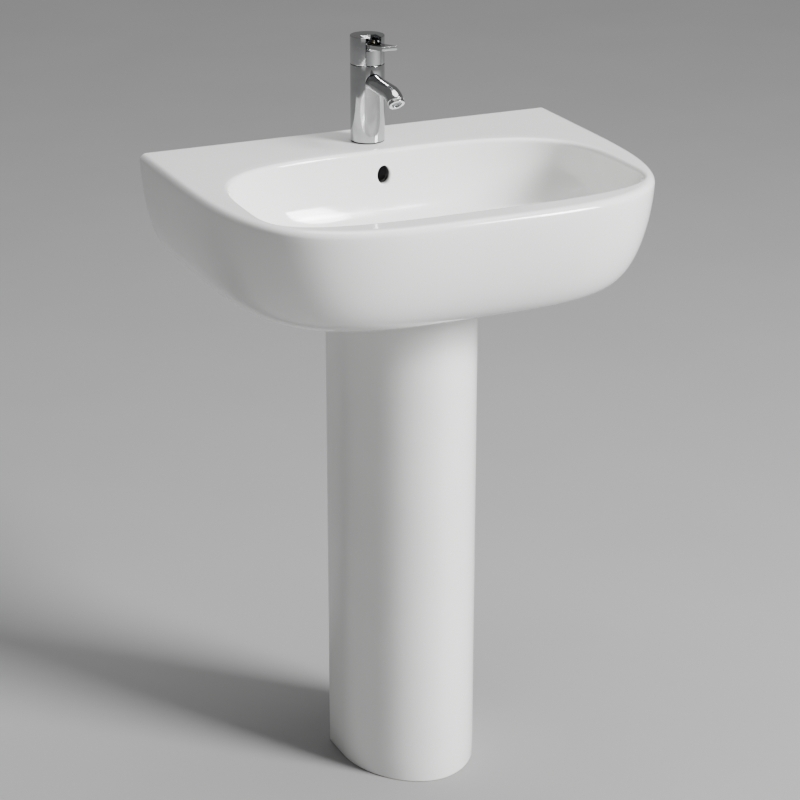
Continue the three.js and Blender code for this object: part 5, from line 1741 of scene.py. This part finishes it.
@dataclass
class Waste(Assembly):
    """The push-open waste: a flanged tube, a back nut, and a domed plug on a sprung stem."""

    tube_radius: float = 0.0209
    tube_wall: float = 0.0032
    flange_thickness: float = 0.0022
    flange_edge: Pair = (0.0015, 0.0008)
    dish: Pair = (0.003, 0.004)
    soft: float = 0.0005
    thread_pitch: float = 0.0023
    thread_depth: float = 0.0005
    thread_ends: Pair = (0.001, 0.004)
    rows_per_turn: float = 5.0
    clearance: float = 0.0003
    barrel_radius: float = 0.007
    barrel_lip: float = 0.0027
    barrel_bore: float = 0.0038
    barrel_floor: float = 0.002
    stem_middle: float = 0.001
    hub_wall: float = 0.0028
    slot_half: float = 0.008
    slot_ends: Pair = (0.005, 0.0108)
    spoke_half: float = 0.002
    spoke_drop: Pair = (0.014, 0.009)
    nut_gap: float = 0.00056
    nut_wall: float = 0.006
    nut_bevel: float = 0.0006
    wing_half: float = 0.004
    wing_ends: Pair = (0.0002, 0.003)
    dome_edge: float = 0.0015
    dome_rise: float = 0.0026
    dome_exponent: float = 2.4
    spring_turns: int = 5
    spring_close: float = 0.55
    wire_radius: float = 0.0006

    def __post_init__(self) -> None:
        """Take the places from the CAD boxes."""
        self.body = Box.of("waste_body")
        self.y = self.body.middle.y
        self.bore = self.tube_radius - self.tube_wall

    def tube(self) -> None:
        """Turn the flanged tube, cut its overflow slots and set its spokes."""
        top, foot, flange = self.body.high.z, self.body.low.z, self.body.size.x / 2.0
        under, start, end = top - self.flange_thickness, *self.thread_ends
        corners = [(self.bore, foot), (self.tube_radius, foot), (self.tube_radius, under),
                   (flange, under), (flange, top - self.flange_edge[1]),
                   (flange - self.flange_edge[0], top), (self.bore + self.dish[0], top),
                   (self.bore, top - self.dish[1])]
        pitch = self.thread_pitch
        thread = upright(self.tube_radius, foot + start, under - end, pitch / self.rows_per_turn)
        soft = softened(corners, self.soft, closed=True)
        # The thread's rows go between the foot's corner and the flange's.
        split = int(np.argmax(soft[:, 1] > foot + start))
        profile = np.vstack([soft[:split], thread, soft[split:]])
        wound = threaded(pitch, self.thread_depth, foot, under - end)

        def shape(radius: Array, height: Array, angle: Array) -> Array:
            """Thread the tube's outside only."""
            on_tube = np.abs(radius - self.tube_radius) < 0.0001
            return np.where(on_tube, wound(radius, height, angle), radius)

        piece = turned("waste_tube", profile, (0.0, self.y), 96, shape=shape, crease=40.0)
        boss_foot = Box.of("waste_lower_seal").high.z + self.clearance
        low, high = (boss_foot - drop for drop in self.spoke_drop)
        reach, slim, wide = self.bore + 0.001, self.spoke_half, 0.03
        centre = (0.0, self.y)
        spokes = [slab("spoke", (-x, self.y - y, low), (x, self.y + y, high))
                  for x, y in ((reach, slim), (slim, reach))]
        hub = rod("hub", self.barrel_radius + self.hub_wall, low, high, centre=centre)
        carve(hub, [], spokes)
        carve(piece, [
            slab("overflow_slots",
                 (-self.slot_half, self.y - wide, boss_foot + self.slot_ends[0]),
                 (self.slot_half, self.y + wide, top - self.slot_ends[1])),
            rod("barrel_room", self.barrel_radius + self.clearance, low - 0.001, high + 0.001,
                centre=centre),
        ], [hub], 40.0)
        self.keep(piece, Slot.CHROME, "root", "waste_body")

    def back_nut(self) -> None:
        """Make the cast back nut with its rounded wings."""
        box = Box.of("waste_back_nut")
        low, high, bore = box.low.z, box.high.z, self.tube_radius + self.nut_gap
        ring = bore + self.nut_wall
        piece = lathe("waste_nut_ring", [(bore, low), (ring, low), (ring, high), (bore, high)],
                      0.0008, centre=(0.0, self.y), sides=96)
        wing = slab("wings", (box.low.x, self.y - self.wing_half, low + self.wing_ends[0]),
                    (box.high.x, self.y + self.wing_half, high - self.wing_ends[1]))
        carve(piece, [rod("bore", bore, low - 0.001, high + 0.001, centre=(0.0, self.y),
                          sides=96)], [wing], 35.0)
        bevelled(piece, self.nut_bevel)
        self.keep(piece, Slot.BRASS, "root", "waste_back_nut")

    def plug(self) -> None:
        """Turn the domed cap, whose height follows 1 - r^e, its stem and the latch barrel."""
        cap = Box.of("waste_plug")
        radius, low, high = cap.size.x / 2.0, cap.low.z, cap.high.z
        inward = 1.0 - np.linspace(0.0, 1.0, 24)[:-1]
        crown = np.stack([(radius - self.dome_edge) * inward,
                          low + self.dome_rise + (high - low - self.dome_rise)
                          * (1.0 - inward ** self.dome_exponent)], axis=1)
        edge = softened([(radius - 0.003, low), (radius - 0.0004, low), (radius, low + 0.0012),
                         tuple(crown[0])], 0.0006)
        piece = turned("plug_cap", np.vstack([edge, crown[1:]]), (0.0, self.y), 128, Ends.FAN,
                       crease=35.0)
        self.keep(piece, Slot.CHROME, "plug", "waste_plug")
        middle, barrel, bore = self.stem_middle, self.barrel_radius, self.barrel_bore
        for node, name, slot, body in (
                ("plug_stem", "plug_stem_rod", Slot.BRASS, "plug"),
                ("latch_barrel", "latch_barrel_tube", Slot.WHITE_PLASTIC, "root")):
            seat = Seat.of(node, Axis.UP)
            if body == "plug":
                corners = [(middle, 0.0), (seat.radius, 0.0), (seat.radius, seat.length),
                           (middle, seat.length)]
            else:
                shoulder = seat.length - self.barrel_lip
                corners = [(middle, 0.0), (barrel, 0.0), (barrel, shoulder),
                           (seat.radius, shoulder), (seat.radius, seat.length),
                           (bore, seat.length), (bore, self.barrel_floor),
                           (middle, self.barrel_floor)]
            self.keep(lathe(name, corners, self.soft, 3, sides=48, ends=Ends.FAN,
                            place=seat.place), slot, body, node)

    def spring(self) -> None:
        """Wind the spring: round wire along a helix whose end turns close up.

        The wire's middle is at (R cos a, R sin a, z), with z rising as a smooth step of the share
        of the length, and the wire's section lies across the helix.
        """
        box = Box.of("plug_spring")
        radius = box.size.x / 2.0 - self.wire_radius
        steps, sides = 48 * self.spring_turns, 14
        share = np.linspace(0.0, 1.0, steps)
        turn = TAU * self.spring_turns * share
        low, high = box.low.z + self.wire_radius, box.high.z - self.wire_radius
        rise = share - np.sin(TAU * share) / TAU * self.spring_close
        middle = np.stack([radius * np.cos(turn), radius * np.sin(turn),
                           low + (high - low) * rise], axis=1)
        out = np.stack([np.cos(turn), np.sin(turn), np.zeros(steps)], axis=1)
        up = np.cross(unit(np.gradient(middle, axis=0)), out)
        angle = np.linspace(0.0, TAU, sides, endpoint=False)[None, :, None]
        wire = self.wire_radius * (np.cos(angle) * out[:, None] + np.sin(angle) * up[:, None])
        points = middle[:, None, :] + wire + (0.0, self.y, 0.0)
        piece = grid_object("plug_spring_coil", points, Ends.FAN, 60.0)
        self.keep(piece, Slot.STEEL, "root", "plug_spring")
        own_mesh(piece)

    def build(self) -> None:
        """Make the whole waste."""
        self.tube()
        self.back_nut()
        self.plug()
        self.spring()


@dataclass
class Trap(Assembly):
    """The bottle trap: slip nuts, a head with its dip tube and socket, a cup and a wall pipe."""

    pipe: float = 0.016
    pipe_wall: float = 0.002
    clearance: float = 0.0003
    nut_edge: float = 0.0015
    nut_lip: float = 0.0165
    lip_depth: float = 0.004
    head_wall: float = 0.003
    head_height: float = 0.040
    collar: float = 0.003
    collar_radius: float = 0.0199
    socket_length: float = 0.026
    socket_radius: float = 0.0195
    socket_depth: float = 0.0163
    soft: float = 0.0009
    flutes: int = 24
    flute_depth: float = 0.0014
    crease: float = 35.0
    cup_step: Pair = (0.004, 0.005)
    cup_flutes: int = 18
    cup_flute_depth: float = 0.0012
    rose_rise: float = 0.45
    rose_edge: float = 0.002

    def __post_init__(self) -> None:
        """Take the places from the CAD boxes."""
        self.y = Box.of("trap_cup").middle.y
        self.bore = self.pipe - self.pipe_wall
        self.outlet = Box.of("outlet_pipe").middle.z

    def nut(self, node: str, axis: Axis, thread: float, lip_first: bool) -> None:
        """Make a fluted slip nut.

        Args:
            node: the CAD node that it stands for.
            axis: its direction.
            thread: the radius of its threaded bore.
            lip_first: whether the lip is at the axis's start.
        """
        seat = Seat.of(node, axis)
        lip, deep, edge = self.nut_lip, self.lip_depth, self.nut_edge
        corners = [(lip, 0.0), (seat.radius - edge, 0.0), (seat.radius, edge),
                   (seat.radius, seat.length), (thread, seat.length), (thread, deep), (lip, deep)]
        if not lip_first:
            corners = [(radius, seat.length - height) for radius, height in corners]
        grip = fluted(self.flutes, self.flute_depth, seat.radius - 0.0018)
        self.keep(lathe(f"{node}_fluted", corners, self.soft, sides=192, place=seat.place,
                        shape=grip, crease=self.crease), Slot.WHITE_PLASTIC, "root", node)

    def along(self, name: str, radius: float, start: float, length: float, sides: int) -> Obj:
        """A cylinder that runs back from a y at the outlet's height."""
        return rod(name, radius, 0.0, length, Axis.BACK.at(0.0, start, self.outlet), sides=sides)

    def head(self) -> None:
        """Make the head: collar, inlet neck, shoulder, skirt and dip tube, with its socket."""
        box = Box.of("trap_body")
        radius = box.size.x / 2.0
        foot = Box.of("trap_cup_seal").high.z + self.clearance
        top, skirt = foot + self.head_height, radius - self.head_wall
        under, collar_foot = top - self.head_wall, box.high.z - self.collar
        piece = lathe("trap_head", [
            (self.bore, box.low.z), (self.pipe, box.low.z), (self.pipe, under), (skirt, under),
            (skirt, foot), (radius, foot), (radius, top), (self.pipe, top),
            (self.pipe, collar_foot), (self.collar_radius, collar_foot),
            (self.collar_radius, box.high.z), (self.bore, box.high.z)],
            0.0015, 5, centre=(0.0, self.y), sides=120, crease=self.crease)
        start = self.y + skirt - 0.001
        end = self.y + radius + self.socket_length
        socket = self.along("socket", self.socket_radius, start, end - start, 96)
        carve(piece, [
            self.along("water_bore", self.bore, self.y + self.pipe + 0.002, 0.08, 72),
            self.along("pipe_bore", self.pipe + self.clearance, end - self.socket_depth, 0.03, 72),
        ], [socket], self.crease)
        self.keep(piece, Slot.WHITE_PLASTIC, "root", "trap_body")

    def cup(self) -> None:
        """Turn the cup with its threaded collar, tapered wall and rounded foot, and its grips."""
        box = Box.of("trap_cup")
        collar, low, high = box.size.x / 2.0, box.low.z, box.high.z
        wall, skirt = (collar - step for step in self.cup_step)
        corners = [
            (0.002, low), (wall - 0.012, low), (wall - 0.004, low + 0.003), (wall, low + 0.011),
            (wall, high - 0.016), (collar, high - 0.014), (collar, high), (skirt, high),
            (skirt - 0.001, high - 0.016), (skirt - 0.002, low + 0.012),
            (wall - 0.013, low + 0.0036), (0.002, low + 0.0026)]
        grip = fluted(self.cup_flutes, self.cup_flute_depth, wall + 0.001)
        piece = lathe("trap_bottle", corners, 0.003, 6, centre=(0.0, self.y), sides=180,
                      ends=Ends.FAN, shape=grip, crease=self.crease)
        self.keep(piece, Slot.WHITE_PLASTIC, "root", "trap_cup")

    def wall_run(self) -> None:
        """Make the outlet pipe and the rose that hides its hole in the wall."""
        seat = Seat.of("outlet_pipe", Axis.BACK)
        corners = [(self.bore, 0.0), (self.pipe, 0.0), (self.pipe, seat.length),
                   (self.bore, seat.length)]
        self.keep(lathe("outlet_tube", corners, 0.0006, sides=96, place=seat.place),
                  Slot.WHITE_PLASTIC, "root", "outlet_pipe")
        seat = Seat.of("wall_flange", Axis.BACK)
        inner, back = self.pipe + self.clearance, seat.length
        corners = [(inner, 0.0), (self.pipe + 0.003, 0.0),
                   (self.pipe + 0.008, back * self.rose_rise),
                   (seat.radius, back - self.rose_edge), (seat.radius, back), (inner, back)]
        self.keep(lathe("wall_rose", corners, 0.0022, 6, sides=120, place=seat.place),
                  Slot.WHITE_PLASTIC, "root", "wall_flange")

    def build(self) -> None:
        """Make the whole trap."""
        self.nut("trap_inlet_nut", Axis.UP, 0.02147, True)
        self.nut("trap_outlet_nut", Axis.BACK, 0.02005, False)
        self.head()
        self.cup()
        self.wall_run()


# ------------------------------------------------------------------------------- stage


@dataclass(frozen=True)
class SoftLight:
    """A square area light: where it stands and aims, its side in metres and its watts."""

    name: str
    place: Rgb
    target: Rgb
    size: float
    power: float

    def build(self) -> None:
        """Add the light."""
        data = bpy.data.lights.new(self.name, "AREA")
        data.size, data.energy = self.size, self.power
        shine(self.name, data, self.place, self.target)


@dataclass(frozen=True)
class Daylight:
    """A soft, even light from far off: where it comes from, its spread and its strength."""

    place: Rgb = (2.4, -3.0, 2.6)
    spread: float = 14.0
    strength: float = 2.6

    def build(self) -> None:
        """Add the light."""
        data = bpy.data.lights.new("daylight", "SUN")
        data.angle, data.energy = math.radians(self.spread), self.strength
        shine("daylight", data, (0.0, 0.0, 0.0), tuple(-part for part in self.place))


def shine(name: str, data: bpy.types.Light, place: Rgb, target: Rgb) -> None:
    """Put a light into the scene, with its beam turned to a target.

    Args:
        name: the light's name.
        data: its settings.
        place: where it stands.
        target: the point that it faces.
    """
    light = bpy.data.objects.new(name, data)
    light.location = place
    light.rotation_euler = (Vector(target) - Vector(place)).to_track_quat("-Z", "Y").to_euler()
    bpy.context.scene.collection.objects.link(light)


@dataclass(frozen=True)
class Studio:
    """Camera, pale floor and soft lights."""

    camera_place: Rgb = (-1.269, -2.741, 1.707)
    camera_turn: Rgb = (68.67, 0.0, -24.19)
    lens: float = 110.0
    shift: Pair = (0.0094, 0.0075)
    floor_half: float = 12.0
    floor_depth: float = 0.01
    floor_gap: float = 0.0001
    lights: tuple[SoftLight | Daylight, ...] = (
        SoftLight("key", (2.4, -3.0, 2.6), (0.0, 0.0, 0.55), 1.3, 340.0),
        SoftLight("fill", (-2.6, -2.2, 1.6), (0.0, 0.0, 0.6), 2.2, 5.0),
        SoftLight("top", (0.2, 0.2, 3.4), (0.0, 0.0, 0.6), 2.0, 60.0),
        Daylight(),
    )
    world_colour: tuple[float, float, float, float] = (0.80, 0.80, 0.80, 1.0)
    world_strength: float = 0.24

    def build(self) -> None:
        """Place the camera, the floor and the lights."""
        data = bpy.data.cameras.new("camera")
        data.lens = self.lens
        data.sensor_width = 36.0
        data.shift_x, data.shift_y = self.shift
        data.clip_end = 100.0
        camera = bpy.data.objects.new("camera", data)
        camera.location = self.camera_place
        camera.rotation_euler = [math.radians(turn) for turn in self.camera_turn]
        bpy.context.scene.collection.objects.link(camera)
        bpy.context.scene.camera = camera
        self.floor()
        for light in self.lights:
            light.build()
        world = bpy.data.worlds.new("studio")
        world.use_nodes = True
        sky = world.node_tree.nodes["Background"].inputs
        sky["Color"].default_value = self.world_colour
        sky["Strength"].default_value = self.world_strength
        bpy.context.scene.world = world

    def floor(self) -> None:
        """Lay the floor, a thin slab whose top is just under z = 0."""
        half = self.floor_half
        floor = slab("floor", (-half, -half, -self.floor_depth), (half, half, -self.floor_gap))
        floor.data.materials.append(PalePaint().build())


def main() -> None:
    """Build the studio and every sub-assembly in order."""
    logging.basicConfig(level=logging.INFO, format="%(name)s %(message)s")
    finishes = Finishes()
    Studio().build()
    for kind in (Basin, Pedestal, Tap, Waste, Trap, Hardware):
        kind(finishes).build()
    slots = {row["node"]: row["material_slot"] for row in frame["record"]["subparts"]}
    rest = Assembly(finishes)
    for node, piece in frame["nodes"].items():
        if not piece.hide_render:
            rest.carry(node, Slot(slots[node]))


if __name__ == "__main__":
    main()
